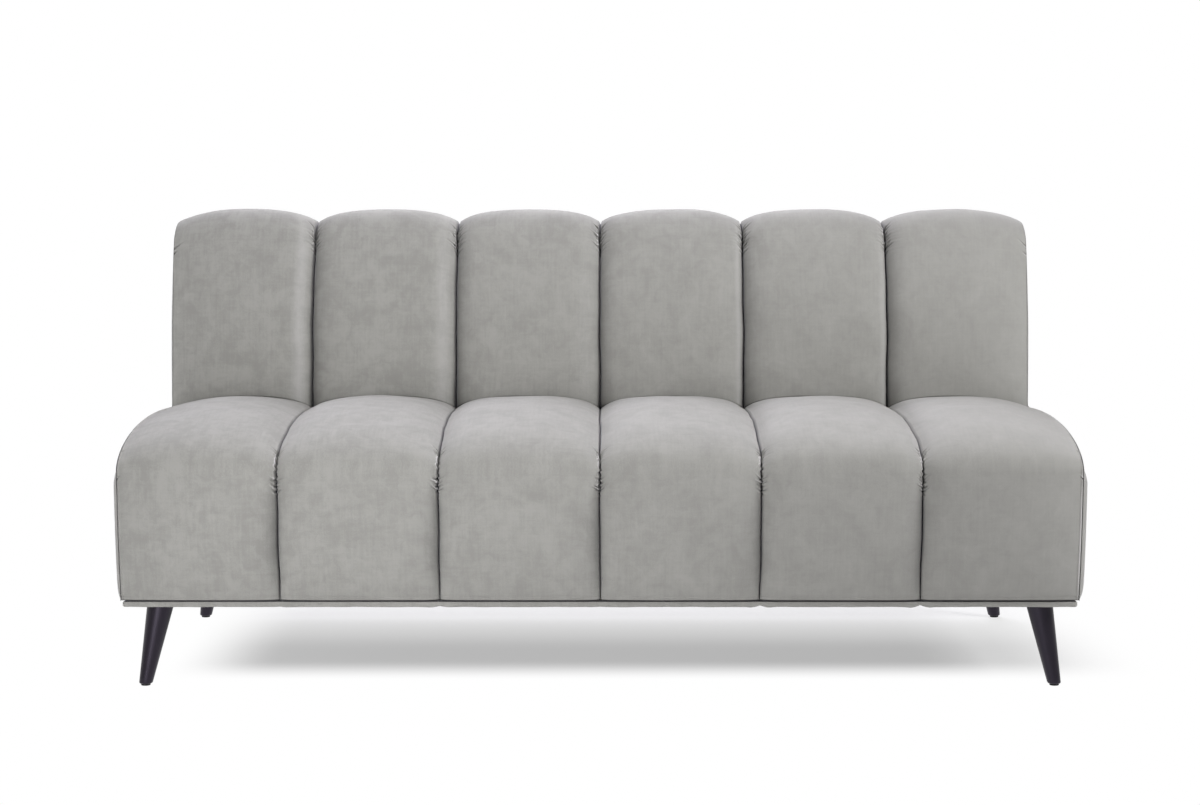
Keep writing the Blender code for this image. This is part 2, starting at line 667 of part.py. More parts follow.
def build_legs():
    for end in ("front", "rear"):
        for side, sign_x in (("left", -1), ("right", 1)):
            build_leg(f"{end}_{side}", sign_x, end)


def centre_on_origin():
    """Moves the root so that the object's depth is centred on the origin."""
    ys = [v.co.y for item in root.children for v in item.data.vertices if not item.hide_render]
    root.location.y = -(min(ys) + max(ys)) / 2


for item in list(bpy.data.objects):
    bpy.data.objects.remove(item)
root = bpy.data.objects.new("banquette", None)
bpy.context.scene.collection.objects.link(root)

velvet = material("grey velvet", (0.36, 0.35, 0.33), 0.9)
lacquer = material("black satin lacquer on beech", (0.02, 0.018, 0.021), 0.35)
timber = material("pine boards", (0.62, 0.44, 0.26), 0.7)
foam = material("polyurethane foam", (0.85, 0.80, 0.62), 0.95)
felt = material("jute felt and webbing", (0.30, 0.25, 0.19), 0.95)
cambric = material("black cambric", (0.02, 0.02, 0.02), 0.95)
steel = material("zinc-plated steel", (0.60, 0.61, 0.62), 0.35, 1.0)
nylon = material("black nylon", (0.03, 0.03, 0.03), 0.5)

build_seat_box()
build_back_frame()
build_suspension()
build_foam()
build_channels()
build_covers()
build_legs()
centre_on_origin()
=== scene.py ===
import math
import bpy
import bmesh
import numpy as np
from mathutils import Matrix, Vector


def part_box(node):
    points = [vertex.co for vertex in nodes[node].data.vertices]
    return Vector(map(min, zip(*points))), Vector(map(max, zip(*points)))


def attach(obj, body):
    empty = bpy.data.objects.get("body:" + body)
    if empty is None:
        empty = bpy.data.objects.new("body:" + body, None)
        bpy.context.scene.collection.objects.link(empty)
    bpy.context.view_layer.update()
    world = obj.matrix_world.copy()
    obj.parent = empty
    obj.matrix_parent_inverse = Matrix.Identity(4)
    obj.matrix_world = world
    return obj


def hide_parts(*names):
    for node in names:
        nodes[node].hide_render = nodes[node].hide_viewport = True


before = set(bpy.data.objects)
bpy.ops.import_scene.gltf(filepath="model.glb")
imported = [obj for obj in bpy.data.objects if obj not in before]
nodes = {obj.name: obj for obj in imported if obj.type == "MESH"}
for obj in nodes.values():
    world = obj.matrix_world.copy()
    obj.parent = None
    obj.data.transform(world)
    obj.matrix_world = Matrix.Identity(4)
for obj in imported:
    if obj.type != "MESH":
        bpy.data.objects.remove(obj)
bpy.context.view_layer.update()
print("frame loaded,", len(nodes), "CAD nodes")


def toLinear(hexColour):
    parts = [int(hexColour[k:k + 2], 16) / 255 for k in (1, 3, 5)]
    return (*[p / 12.92 if p <= 0.04045 else ((p + 0.055) / 1.055) ** 2.4 for p in parts], 1.0)


def addNode(tree, kind, sockets=None, **settings):
    node = tree.nodes.new(kind)
    for key, value in settings.items():
        setattr(node, key, value)
    for key, value in (sockets or {}).items():
        if isinstance(value, bpy.types.Node):
            value = value.outputs[0]
        if isinstance(value, bpy.types.NodeSocket):
            tree.links.new(value, node.inputs[key])
        else:
            node.inputs[key].default_value = value
    return node


def newMaterial(name, sockets):
    made = bpy.data.materials.new(name)
    made.use_nodes = True
    shader = made.node_tree.nodes["Principled BSDF"]
    for key, value in sockets.items():
        shader.inputs[key].default_value = value
    return made, made.node_tree, shader


def endMaterial(tree, shader, colour, height, relief, depth=0.001):
    bump = addNode(tree, "ShaderNodeBump", {"Strength": relief, "Distance": depth, "Height": height})
    tree.links.new(colour, shader.inputs["Base Color"])
    tree.links.new(bump.outputs[0], shader.inputs["Normal"])


# Cotton velvet, cut pile: matt, with soft mottles where the pile was brushed one way or the other, a fine
# nap, and a pale bloom where the pile is seen from the side. The mottles are stronger towards the left end.
velvetLook = {
    "darkPile": "#9f9e9a", "lightPile": "#adaca8", "swing": 0.25, "bloom": "#dcdae2", "relief": 0.12,
    "paintedShade": "#161517", "paintedHighlight": "#f4f2f4",  # painted shade for seams, creases and flanks, and painted highlight for lips and folds
    "worn": (-0.85, 0.85, 1.35, 0.52),  # from the left end to the right, how strong the mottles are
    # metres across and along the cloth; detail, roughness and distortion of the noise; share in the tone
    "patterns": {
        "blotch": (0.075, 0.075, 4.0, 0.6, 0.6, 0.85),
        "mottle": (0.024, 0.024, 5.0, 0.65, 0.4, 0.85),
        "warp": (0.0045, 0.060, 2.0, 0.5, 0.0, 0.34),
        "weft": (0.060, 0.0045, 2.0, 0.5, 0.0, 0.20),
        "tuft": (0.0016, 0.0016, 2.0, 0.5, 0.0, 0.60),  # tufts are 0.3 mm, drawn five times coarser to show
    },
}


def makeVelvet():
    made, tree, shader = newMaterial("CottonVelvet", {
        "Roughness": 0.9, "Specular IOR Level": 0.25, "IOR": 1.5,
        "Sheen Weight": 0.35, "Sheen Roughness": 0.45, "Sheen Tint": toLinear(velvetLook["bloom"])})
    cloth = addNode(tree, "ShaderNodeUVMap", uv_map="cloth").outputs["UV"]
    patterns = {}
    total = 0.0
    for name, (across, along, detail, rough, twist, share) in velvetLook["patterns"].items():
        scaled = addNode(tree, "ShaderNodeMapping", {"Vector": cloth, "Scale": (1 / across, 1 / along, 1.0)})
        patterns[name] = addNode(tree, "ShaderNodeTexNoise", {
            "Vector": scaled, "Scale": 1.0, "Detail": detail, "Roughness": rough,
            "Distortion": twist}, noise_dimensions="2D")
        centred = addNode(tree, "ShaderNodeMath", {0: patterns[name], 1: 0.5}, operation="SUBTRACT")
        total = addNode(tree, "ShaderNodeMath", {
            0: centred, 1: share, 2: total}, operation="MULTIPLY_ADD")
    place = addNode(tree, "ShaderNodeTexCoord").outputs["Object"]
    axes = addNode(tree, "ShaderNodeSeparateXYZ", {0: place})
    leftEnd, rightEnd, most, least = velvetLook["worn"]
    worn = addNode(tree, "ShaderNodeMapRange", {
        "Value": axes.outputs["X"], "From Min": leftEnd, "From Max": rightEnd,
        "To Min": most, "To Max": least})
    total = addNode(tree, "ShaderNodeMath", {0: total, 1: worn}, operation="MULTIPLY")
    pile = addNode(tree, "ShaderNodeMapRange", {
        "Value": total, "From Min": -velvetLook["swing"], "From Max": velvetLook["swing"]})
    # the covers' painted shading is above 0 where painted shade goes and below 0 where painted highlight goes
    pressed = addNode(tree, "ShaderNodeAttribute", attribute_name="pressed").outputs["Fac"]
    paintedHighlight = addNode(tree, "ShaderNodeMath", {0: pressed, 1: -1.0}, operation="MULTIPLY")
    colour = toLinear(velvetLook["darkPile"])
    for share, tone in ((pile, "lightPile"), (pressed, "paintedShade"), (paintedHighlight, "paintedHighlight")):
        colour = addNode(tree, "ShaderNodeMix", {
            0: share, 6: colour, 7: toLinear(velvetLook[tone])}, data_type="RGBA").outputs[2]
    nap = addNode(tree, "ShaderNodeMath", {0: patterns["tuft"], 1: patterns["mottle"]}, operation="ADD")
    endMaterial(tree, shader, colour, nap, velvetLook["relief"])
    return made


# The other finishes share one recipe: a tone where the pattern is high and one where it is low, a grain of
# a real size in metres, a spread of roughness and a little relief
def makeFinish(name, high, low, grain, rough, relief, kind="noise", stretch=(1.0, 1.0, 1.0), spread=0.08,
               depth=0.001, sockets=None):
    made, tree, shader = newMaterial(name, {"Roughness": rough, **(sockets or {})})
    place = addNode(tree, "ShaderNodeTexCoord").outputs["Object"]
    scale = [part / grain for part in stretch]
    scaled = addNode(tree, "ShaderNodeMapping", {"Vector": place, "Scale": scale})
    given = {"Vector": scaled, "Scale": 1.0}
    if kind == "pores":
        parts = [addNode(tree, "ShaderNodeTexVoronoi", given).outputs["Distance"]]
    elif kind == "weave":
        given["Distortion"] = 0.4
        parts = [addNode(tree, "ShaderNodeTexWave", given, bands_direction=way) for way in "XY"]
        parts = [part.outputs["Fac"] for part in parts]
    else:
        parts = [addNode(tree, "ShaderNodeTexNoise", {**given, "Detail": 3.0})]
    if kind == "rings":
        lines = {"Vector": scaled, "Scale": 1.6, "Distortion": 6.0, "Detail": 2.0}
        parts.append(addNode(tree, "ShaderNodeTexWave", lines, bands_direction="Z").outputs["Fac"])
    pattern = parts[0]
    for part in parts[1:]:
        pattern = addNode(tree, "ShaderNodeMath", {0: pattern, 1: part}, operation="MULTIPLY")
    colour = addNode(tree, "ShaderNodeMix", {
        0: pattern, 6: toLinear(low), 7: toLinear(high)}, data_type="RGBA")
    if spread:
        uneven = addNode(tree, "ShaderNodeMapRange", {
            "Value": pattern, "To Min": max(0.05, rough - spread), "To Max": min(1.0, rough + spread)})
        tree.links.new(uneven.outputs[0], shader.inputs["Roughness"])
    endMaterial(tree, shader, colour.outputs[2], pattern, relief, depth)
    return made


velvet = makeVelvet()
# turned beech under black satin lacquer: nearly black with a broad soft highlight, grain just felt
legLacquer = makeFinish(
    "BlackSatinLacquer", "#181419", "#0e0b10", 0.004, 0.39, 0.05, stretch=(1.0, 1.0, 0.048), spread=0.07,
    depth=0.0005, sockets={"IOR": 1.5, "Specular IOR Level": 0.43, "Specular Tint": toLinear("#ecdfff"),
                           "Coat Weight": 0.08, "Coat Roughness": 0.3})
# deal, sawn and planed: pale yellow with brown growth lines 5 to 8 mm apart
pine = makeFinish("PlanedPine", "#a87b48", "#d9bd8c", 0.02, 0.62, 0.08, kind="rings",
                  stretch=(0.03, 0.6, 0.6), spread=0, sockets={"IOR": 1.5})
# cut polyurethane foam, open pores about 1 mm
foam = makeFinish("CutFoam", "#e6dcc0", "#c9bb97", 0.0016, 0.95, 0.35, kind="pores")
# needled felt and jute: matted fibres, a few millimetres long
felt = makeFinish("NeedledFelt", "#8d8a86", "#5f5c59", 0.004, 0.95, 0.3, stretch=(1.0, 3.0, 3.0))
jute = makeFinish("JuteWebbing", "#b9985f", "#7d6238", 0.004, 0.9, 0.4, kind="weave")
# black spunbond cambric: dull, with a small pressed grid
cambric = makeFinish("BlackCambric", "#2b2b2c", "#151516", 0.004, 0.9, 0.3, kind="weave")
# zinc plate dulls to a soft grey with faint cloudy patches, and spring wire comes black from the mill
metal = {"Metallic": 1.0}
zincPlate = makeFinish("ZincPlatedSteel", "#c3c5c8", "#9ea1a5", 0.006, 0.36, 0.04, sockets=metal)
springSteel = makeFinish("BlackSpringSteel", "#5a5b5e", "#38393c", 0.005, 0.42, 0.05, sockets=metal)
# moulded nylon, black, finely textured
nylon = makeFinish("BlackNylon", "#232325", "#161617", 0.0008, 0.5, 0.1)
# polyester thread in the colour of the cloth, twisted
thread = makeFinish("GreyThread", "#a9a8a4", "#8b8a86", 0.0012, 0.75, 0.3, stretch=(1.0, 1.0, 3.0))
print("materials made")


def gridFaces(rows, across, start=0):
    index = start + np.arange(rows * across).reshape(rows, across)
    corners = (index[:-1, :-1], index[:-1, 1:], index[1:, 1:], index[1:, :-1])
    return np.stack(corners, 2).reshape(-1, 4).tolist()


def ringFaces(rings, sides):
    # a closed tube of rings, capped at both ends
    index = np.arange(rings * sides).reshape(rings, sides)
    after = np.roll(index, -1, 1)
    faces = np.stack([index[:-1], after[:-1], after[1:], index[1:]], 2).reshape(-1, 4)
    return [index[0].tolist(), index[-1].tolist(), *faces.tolist()]


def addObject(name, data):
    made = bpy.data.objects.new(name, data)
    bpy.context.scene.collection.objects.link(made)
    return made


def declare(piece, node):
    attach(piece, "root")
    if node:
        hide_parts(node)


def makePiece(name, node, points, faces, material, uv=None, pressed=None):
    mesh = bpy.data.meshes.new(name)
    mesh.from_pydata(np.asarray(points, float).tolist(), [], [tuple(map(int, face)) for face in faces])
    shape = bmesh.new()
    shape.from_mesh(mesh)
    bmesh.ops.recalc_face_normals(shape, faces=shape.faces)
    shape.to_mesh(mesh)
    shape.free()
    if uv is not None:
        corner = np.empty(len(mesh.loops), int)
        mesh.loops.foreach_get("vertex_index", corner)
        layer = mesh.uv_layers.new(name="cloth")
        layer.data.foreach_set("uv", np.asarray(uv, float)[corner].ravel())
    # painted shade and painted highlight, kept on the points for the velvet's colour
    if pressed is not None:
        marks = mesh.attributes.new("pressed", "FLOAT", "POINT")
        marks.data.foreach_set("value", np.asarray(pressed, float).ravel())
    mesh.shade_smooth()
    mesh.materials.append(material)
    piece = addObject(name, mesh)
    declare(piece, node)
    return piece


def between(first, second, share):
    return first + (second - first) * share


def bell(places, centre, reach, power=2):
    return np.exp(-((places - centre) / reach) ** power)


def summed(steps):
    return np.concatenate([[0], np.cumsum(steps)])


def lengths(line):
    # length along a line to each of its points
    return summed(np.linalg.norm(np.diff(line[:, :2], axis=0), axis=1))


def sample(line, arc, places):
    return np.stack([np.interp(places, arc, values) for values in line.T], 1)


def wander(seed, along, waves, size):
    rng = np.random.default_rng(seed)
    total = sum(np.sin(2 * np.pi * along / wave + rng.uniform(0, 2 * np.pi)) for wave in waves)
    return size * total / len(waves)


def unevenness(seed, across, along, size, waves=(0.09, 0.13, 0.17, 0.24, 0.31)):
    rng = np.random.default_rng(seed)
    total = 0
    for wave in waves:
        turn = rng.uniform(0, np.pi)
        phase = rng.uniform(0, 2 * np.pi)
        total = total + np.sin(2 * np.pi * (across * np.cos(turn) + along * np.sin(turn)) / wave + phase)
    return size * total / len(waves)


# Six channels from seam to seam. Two neighbours share a seam, which wanders by about a millimetre and jogs
# from side to side where the covers are gathered.
seams = {
    "channels": 6, "pitch": 0.283, "end": 0.8467, "half": 0.00015, "drawn": 0.004,
    "wander": 0.0011, "waves": (0.11, 0.19, 0.37), "jog": 0.0016, "jogWaves": (0.0075, 0.0115),
    # the ends of the back are drawn in a little between its foot and its top: (length up the back, end seam)
    "backEnd": ((0.0, 0.8425), (0.12, 0.8405), (0.22, 0.8420), (0.34, 0.8475), (0.40, 0.8467),
                (0.60, 0.8467)),
}


def isEnd(seam):
    return seam in (0, seams["channels"])


def seamX(seam, along, onBack, easing):
    if isEnd(seam):
        line = np.interp(along, *zip(*seams["backEnd"])) if onBack else np.full_like(along, seams["end"])
        return line if seam else -line
    seed = 40 + seam + 20 * onBack
    jog = easing * wander(seed + 100, along, seams["jogWaves"], seams["jog"])
    middle = (seam - seams["channels"] / 2) * seams["pitch"]
    return middle + wander(seed, along, seams["waves"], seams["wander"]) + jog


def seamPair(number, arc, onBack, easing):
    left = seamX(number, arc, onBack, easing)[:, None] + seams["half"]
    right = seamX(number + 1, arc, onBack, easing)[:, None] - seams["half"]
    return left, right


def channelFrame(number, arc, onBack, easing, shares):
    left, right = seamPair(number, arc, onBack, easing)
    x = (left + right) / 2 + shares * (right - left) / 2
    toLeft, toRight = x - left, right - x
    # the pad itself follows the seams without their jogs, except close to them
    plainLeft, plainRight = seamPair(number, arc, onBack, 0.0)
    drawn = x - (left - plainLeft) * np.exp(-toLeft / seams["drawn"])
    drawn = drawn - (right - plainRight) * np.exp(-toRight / seams["drawn"])
    padShares = np.clip((2 * drawn - plainLeft - plainRight) / (plainRight - plainLeft), -1, 1)
    return (left, right), x, (toLeft, toRight), padShares


# Columns of a channel crowd at its seams, where the cloth turns in, and open out in the middle
spacing = {"first": 0.0004, "growth": 1.12, "near": 21, "widest": 0.0046}


def columnShares(width):
    near = summed(spacing["first"] * spacing["growth"] ** np.arange(spacing["near"]))
    count = int((width - 2 * near[-1]) / spacing["widest"])
    middle = np.linspace(near[-1], width - near[-1], count)[1:-1]
    return np.concatenate([near, middle, width - near[::-1]]) / width * 2 - 1


columnPlaces = columnShares(seams["pitch"])[None, :]


def spreadRows(line, rows, zones):
    # rows crowd where the cloth is gathered or turns under
    arc = lengths(line)
    density = 1 + sum(extra * bell(arc, centre, reach, 4) for centre, reach, extra in zones)
    spread = summed(0.5 * (density[1:] + density[:-1]) * np.diff(arc))
    places = np.interp(np.linspace(0, spread[-1], rows), spread, arc)
    return places, sample(line, arc, places)


def padShape(share, powers):
    return np.clip(1 - np.abs(share) ** powers[0], 0, 1) ** powers[1]


def fullness(share, frontness, look, number):
    # 1 in the middle of a channel and 0 at its seams: flat with tight flanks on the front, rounder on top
    powers = zip(look["topPowers"], look["frontPowers"])
    full = padShape(share, [between(top, front, frontness) for top, front in powers])
    if isEnd(number) or isEnd(number + 1):
        # the two end channels fall away more gently on their outer side
        outside = share < 0 if isEnd(number) else share > 0
        full = np.where(outside, padShape(share, look["endPowers"]), full)
    return full


# Where the covers are eased round a bend the thread draws up small creases, each with a ridge beside it
creases = {"deep": (0.0024, 0.0046), "wide": (0.0012, 0.0018), "ridge": 0.45, "beside": 2.0, "fade": 1.1,
           "jitter": 0.6}


def gathers(seed, seam, side, distance, along, zone):
    # both sides of a seam share the places where the thread pulls
    centre, spread, count, slopes, reach = zone
    shift = np.random.default_rng(seed).uniform(-1, 1, count) * creases["jitter"] / count
    places = centre + spread * (np.linspace(-1, 1, count) + shift)
    if isEnd(seam):
        places = places[:1]
    rng = np.random.default_rng(seed * 7 + side + 3)
    total = 0
    for place in places:
        length = rng.uniform(*reach)
        slope = rng.uniform(*slopes)
        wide = rng.uniform(*creases["wide"])
        deep = rng.uniform(*creases["deep"])
        beside = rng.choice((-creases["beside"], creases["beside"])) * wide
        fade = np.clip(1 - distance / length, 0, 1) ** creases["fade"]
        run = along - place - slope * distance
        total = total + deep * fade * (creases["ridge"] * bell(run, beside, wide) - bell(run, 0, wide))
    return total


# Two pads dip towards each other and meet in a narrow cleft, with a thin roll of cloth on each lip. The end
# seams stand up as a thin ridge.
cleft = {"uneven": 0.4, "waves": (0.006, 0.011, 0.029), "lipAt": 0.0034, "lipWide": 0.0013,
         "endGroove": 0.0030, "endWide": 0.0014, "endRidge": 0.0014, "ridgeAt": 0.0036, "ridgeWide": 0.0013}


def onLip(distance):
    return bell(distance, cleft["lipAt"], cleft["lipWide"])


def seamCleft(number, distances, look, cover, frontness):
    total = 0
    deep, wide, lip = look["cleft"]
    topDip, frontDip, dipWide = look["dip"]
    dip = between(topDip, frontDip, frontness)
    for side, distance in enumerate(distances):
        if isEnd(number + side):
            groove = cleft["endGroove"] * bell(distance, 0, cleft["endWide"])
            ridge = cleft["endRidge"] * bell(distance, cleft["ridgeAt"], cleft["ridgeWide"])
            total = total + look["endSeam"] * (ridge - groove)
            continue
        ragged = wander(60 + number + side, cover["along"], cleft["waves"], cleft["uneven"])
        opened = wide * (1 + cover["easing"] * ragged)
        total = total - deep * cover["closing"] * bell(distance, 0, opened)
        total = total - dip * np.exp(-distance / dipWide)
        # the lip to the left of a seam is the fuller one where the cover is eased
        total = total + (lip + side * look["easedLip"] * cover["easing"]) * onLip(distance)
    return total


# Painted shade and painted highlight in the velvet's colour: painted shade in the seams, in the creases and
# on the flanks beside them, and painted highlight on the lips, flanks and folds to the left of a seam, as lit
# from the right.
seamShading = {"seamShade": 0.90, "seamShadeWide": 0.0007, "topSeamShadeWide": 0.0009, "endSeamShade": 0.55,
            "creaseShade": 150.0, "mostCreaseShade": 0.6, "fold": 380.0, "mostFoldHighlight": 0.6, "limits": (-0.8, 0.95)}


def paintedSeamShading(number, distances, look, cover, frontness, creased):
    total = 0
    wide = between(seamShading["topSeamShadeWide"], seamShading["seamShadeWide"], frontness)
    for side, distance in enumerate(distances):
        atEnd = isEnd(number + side)
        # painted shade in the seam and in the creases
        total = total + seamShading["endSeamShade" if atEnd else "seamShade"] * bell(distance, 0, wide)
        total = total + np.clip(-seamShading["creaseShade"] * creased[side], 0, seamShading["mostCreaseShade"])
        # painted shade on the flank beside the seam
        if not atEnd:
            strength, reach = look["flankShade"][side]
            total = total + strength * cover["flankMask"] * np.exp(-distance / reach)
        if side == 0:
            continue
        # painted highlight on the flank, the lip and the crease folds to the left of a seam
        if look["flankHighlight"] and not atEnd:
            strength, place, reach = look["flankHighlight"][number]
            total = total - strength * cover["flankMask"] * bell(distance, place, reach)
        light = look["endLight"] * cover["flankMask"] if atEnd else look["lipLight"] * cover["lips"]
        total = total - light * onLip(distance)
        total = total - np.clip(seamShading["fold"] * creased[side], 0, seamShading["mostFoldHighlight"])
    return np.clip(total, *seamShading["limits"])


# Each cover is first filled as cloth on a coarse net: pinned at its seams, held weakly by the foam, pressed
# out from inside. Clefts and creases, which are finer than the net, come after it.
filling = {
    "rows": 96, "across": 29, "slack": 0.92, "foam": 0.09, "uneven": 0.8, "bent": 0.012,
    "frames": 20, "most": 0.005,
    "cloth": {
        "quality": 5, "mass": 0.25, "tension_stiffness": 8.0, "compression_stiffness": 8.0,
        "bending_stiffness": 0.4, "use_pressure": True, "uniform_pressure_force": 4.0,
        "vertex_group_mass": "held",
    },
}


def swollen(x, y, z, ny, nz, swell):
    return np.stack([x, frontSeam + y + ny * swell, z + nz * swell], 2)


def fillCovers(name, look, cover):
    rows, across, onBack = filling["rows"], filling["across"], cover["onBack"]
    places = np.linspace(0, cover["arc"][-1], rows)
    shares = np.sin(np.pi / 2 * np.linspace(-1, 1, across))[None, :]
    net = sample(cover["line"], cover["arc"], places)
    y, z, ny, nz, crown = net.T[:, :, None]
    bent = np.abs(np.gradient(np.unwrap(np.arctan2(net[:, 3], net[:, 2])), places))[:, None]
    points, faces, held, full = [], [], [], []
    for number in range(seams["channels"]):
        x = channelFrame(number, places, onBack, 0.0, shares)[1]
        full.append(crown * fullness(shares, np.clip(-ny, 0, 1), look, number))
        points.append(swollen(x, y, z, ny, nz, filling["slack"] * full[-1]).reshape(-1, 3))
        for face in gridFaces(rows, across, number * rows * across):
            faces.append(face if onBack else face[::-1])
        # the foam is firmer where it is bent
        uneven = unevenness(800 + number + 10 * onBack, x, places[:, None], filling["uneven"])
        hold = filling["foam"] * (1 + uneven) + filling["bent"] * bent
        hold[[0, -1], :] = 1
        hold[:, [0, -1]] = 1
        held.append(hold.ravel())
    before = np.concatenate(points)
    mesh = bpy.data.meshes.new(name)
    mesh.from_pydata(before.tolist(), [], faces)
    sheet = addObject(name, mesh)
    pins = sheet.vertex_groups.new(name="held")
    for index, weight in enumerate(np.concatenate(held)):
        pins.add([index], float(np.clip(weight, 0, 1)), "REPLACE")
    cloth = sheet.modifiers.new("filling", "CLOTH")
    for setting, value in filling["cloth"].items():
        setattr(cloth.settings, setting, value)
    cloth.settings.effector_weights.gravity = 0
    cloth.collision_settings.use_collision = False
    cloth.point_cache.frame_start = 1
    cloth.point_cache.frame_end = filling["frames"]
    for step in range(1, filling["frames"] + 1):
        bpy.context.scene.frame_set(step)
    evaluated = sheet.evaluated_get(bpy.context.evaluated_depsgraph_get())
    after = np.empty(len(before) * 3)
    evaluated.data.vertices.foreach_get("co", after)
    moved = (after.reshape(-1, 3) - before).reshape(seams["channels"], rows, across, 3)
    bpy.data.objects.remove(sheet)
    bpy.data.meshes.remove(mesh)
    bpy.context.scene.frame_set(1)
    gained = moved[..., 1] * ny + moved[..., 2] * nz - (1 - filling["slack"]) * np.array(full)
    least, most = np.round([gained.min() * 1000, gained.max() * 1000], 1)
    print(name, "filled, off by", least, "to", most, "mm")
    # nothing is gained where another piece lies against the cover
    free = np.interp(places, *zip(*cover["free"]))
    return np.clip(gained, -filling["most"], filling["most"]) * free[:, None]


def smoothly(fine, coarse):
    # carries values from a coarse row of places to a fine one without kinks
    weights = bell(fine[:, None], coarse[None, :], coarse[1] - coarse[0])
    return weights / weights.sum(1, keepdims=True)


def gainedAt(filled, number, arc):
    if filled is None:
        return 0.0
    rows = smoothly(arc, np.linspace(0, arc[-1], filling["rows"]))
    places = np.arcsin(np.clip(columnPlaces[0], -1, 1)) * 2 / np.pi
    across = smoothly(places, np.linspace(-1, 1, filling["across"]))
    return rows @ filled[number] @ across.T


# What the channels of seat and back share: a pad, uneven and filled, its creases, clefts, and painted shade
# and highlight
pads = {"uneven": 0.0016, "soft": 0.03, "filledBy": 0.01, "shell": 0.017}


def padChannel(number, look, cover):
    ny, crown = cover["line"][:, 2, None], cover["line"][:, 4, None]
    arc, along, easing = cover["arc"], cover["along"], cover["easing"]
    frontness = np.clip(-ny, 0, 1)
    edges, x, distances, padShares = channelFrame(number, arc, cover["onBack"], easing[:, 0], columnPlaces)
    inside = np.minimum(*distances)
    soft = np.clip(inside / pads["soft"], 0, 1)
    swell = crown * fullness(padShares, frontness, look, number)
    swell = swell + soft * unevenness(cover["padSeed"] + number, x, along, pads["uneven"])
    swell = swell + np.clip(inside / pads["filledBy"], 0, 1) * gainedAt(cover["filled"], number, arc)
    creased = []
    for side, distance in enumerate(distances):
        seed = cover["gatherSeed"] + number + side
        creased.append(sum(gathers(seed + 10 * place, number + side, side, distance, along, zone)
                           for place, zone in enumerate(cover["gathers"])))
    swell = swell + sum(creased) + seamCleft(number, distances, look, cover, frontness)
    # painted shade and painted highlight along the seams and creases
    pressed = paintedSeamShading(number, distances, look, cover, frontness, creased)
    return x, swell, edges, pressed


def innerEdges(edges, line, lowest=0.0):
    # where a cover is fixed at its two seams, a little way into the foam
    y, z, ny, nz = line[:, :4].T
    y = frontSeam + y - ny * pads["shell"]
    z = np.maximum(z - nz * pads["shell"], lowest)
    return np.stack([np.stack([edge[:, 0], y, z], 1) for edge in edges], 1)


def closeChannel(name, node, number, outer, inner, arc, clothStart, pressed):
    # a plain strip between the inner edges shuts the cover from behind
    rows, across = outer.shape[:2]
    base = rows * across
    front = np.arange(base).reshape(rows, across)
    rear = base + np.arange(2 * rows).reshape(rows, 2)
    faces = gridFaces(rows, across) + gridFaces(rows, 2, base)
    for i in range(rows - 1):
        for edge in (0, -1):
            faces.append((front[i, edge], front[i + 1, edge], rear[i + 1, edge], rear[i, edge]))
    for end in (0, -1):
        faces.append((*front[end], rear[end, 1], rear[end, 0]))
    clothX = columnPlaces * seams["pitch"] / 2 + number * seams["pitch"] + clothStart
    uv = np.stack(np.broadcast_arrays(clothX, arc[:, None]), 2)
    uv = np.concatenate([uv.reshape(-1, 2), uv[:, [0, -1]].reshape(-1, 2)])
    points = np.concatenate([outer.reshape(-1, 3), inner.reshape(-1, 3)])
    pressed = np.concatenate([pressed.ravel(), np.zeros(2 * rows)])
    name, node = f"{name}{number + 1}", f"{node}_{number + 1}"
    piece = makePiece(name, node, points, faces, velvet, uv, pressed)


def sideView(y, z, ny, nz, crown):
    # points of a seam with the way its pad swells and how far
    return np.stack(np.broadcast_arrays(y, z, ny, nz, crown), 1)


# Side view of the seat, counted from the front seams back and from the floor up
seat = {
    "noseRun": 0.33, "noseDrop": 0.066, "tuck": 0.0215, "rearDrop": 0.012, "underBack": 0.51,
    "profile": (60, 240, 160), "rows": 400,  # points on top, round the nose and down the front; cover's rows
    "crown": 0.026, "hemCrown": 0.004,
    "topPowers": (3.0, 0.7), "frontPowers": (4.6, 0.50), "endPowers": (2.0, 0.85), "endSeam": 1.0,
    "cleft": (0.0070, 0.0009, 0.0007), "easedLip": 0.0024,  # depth, width and lip of a cleft
    "dip": (0.003, 0.006, 0.009),  # beside a seam on top, on the front, and its reach
    "gatherHeights": (0.4160, 0.3663), "easing": 0.05,
    "flankShade": ((0.30, 0.007), (0.36, 0.022)),  # strength and reach of the painted shade, right and left of a seam
    "flankShadeFade": 0.6, "flankHighlight": (),
    # painted highlight on the lips and the end seams, and painted shade towards the hem
    "lipLight": 0.5, "lipBelow": 0.017, "lipReach": 0.014, "endLight": 0.5, "hemShade": 0.08,
    "hemRoll": 0.0018, "hemLift": 0.0012, "hemLip": 0.0060, "hemCrease": 0.0008, "hemStitch": 0.0011,
    "hemClosing": 0.012, "turns": 4, "turnStep": 0.0016, "tail": (0, 0.012, 0.0004), "innerTail": 0.006,
}
seatLow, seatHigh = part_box("seat_channel_3")
seamHeight = seatHigh.z - seat["crown"]
frontSeam = seatLow.y + seat["crown"]
seatRear = seatHigh.y - frontSeam
hem = seatLow.z
noseFoot = seamHeight - seat["noseDrop"]
print("front seam at", round(frontSeam, 4), "seam height", round(seamHeight, 4))


def seatSeamZ(y):
    share = np.clip((y - seat["noseRun"]) / (seatRear - seat["noseRun"]), 0, None)
    return seamHeight - seat["rearDrop"] * share ** 2


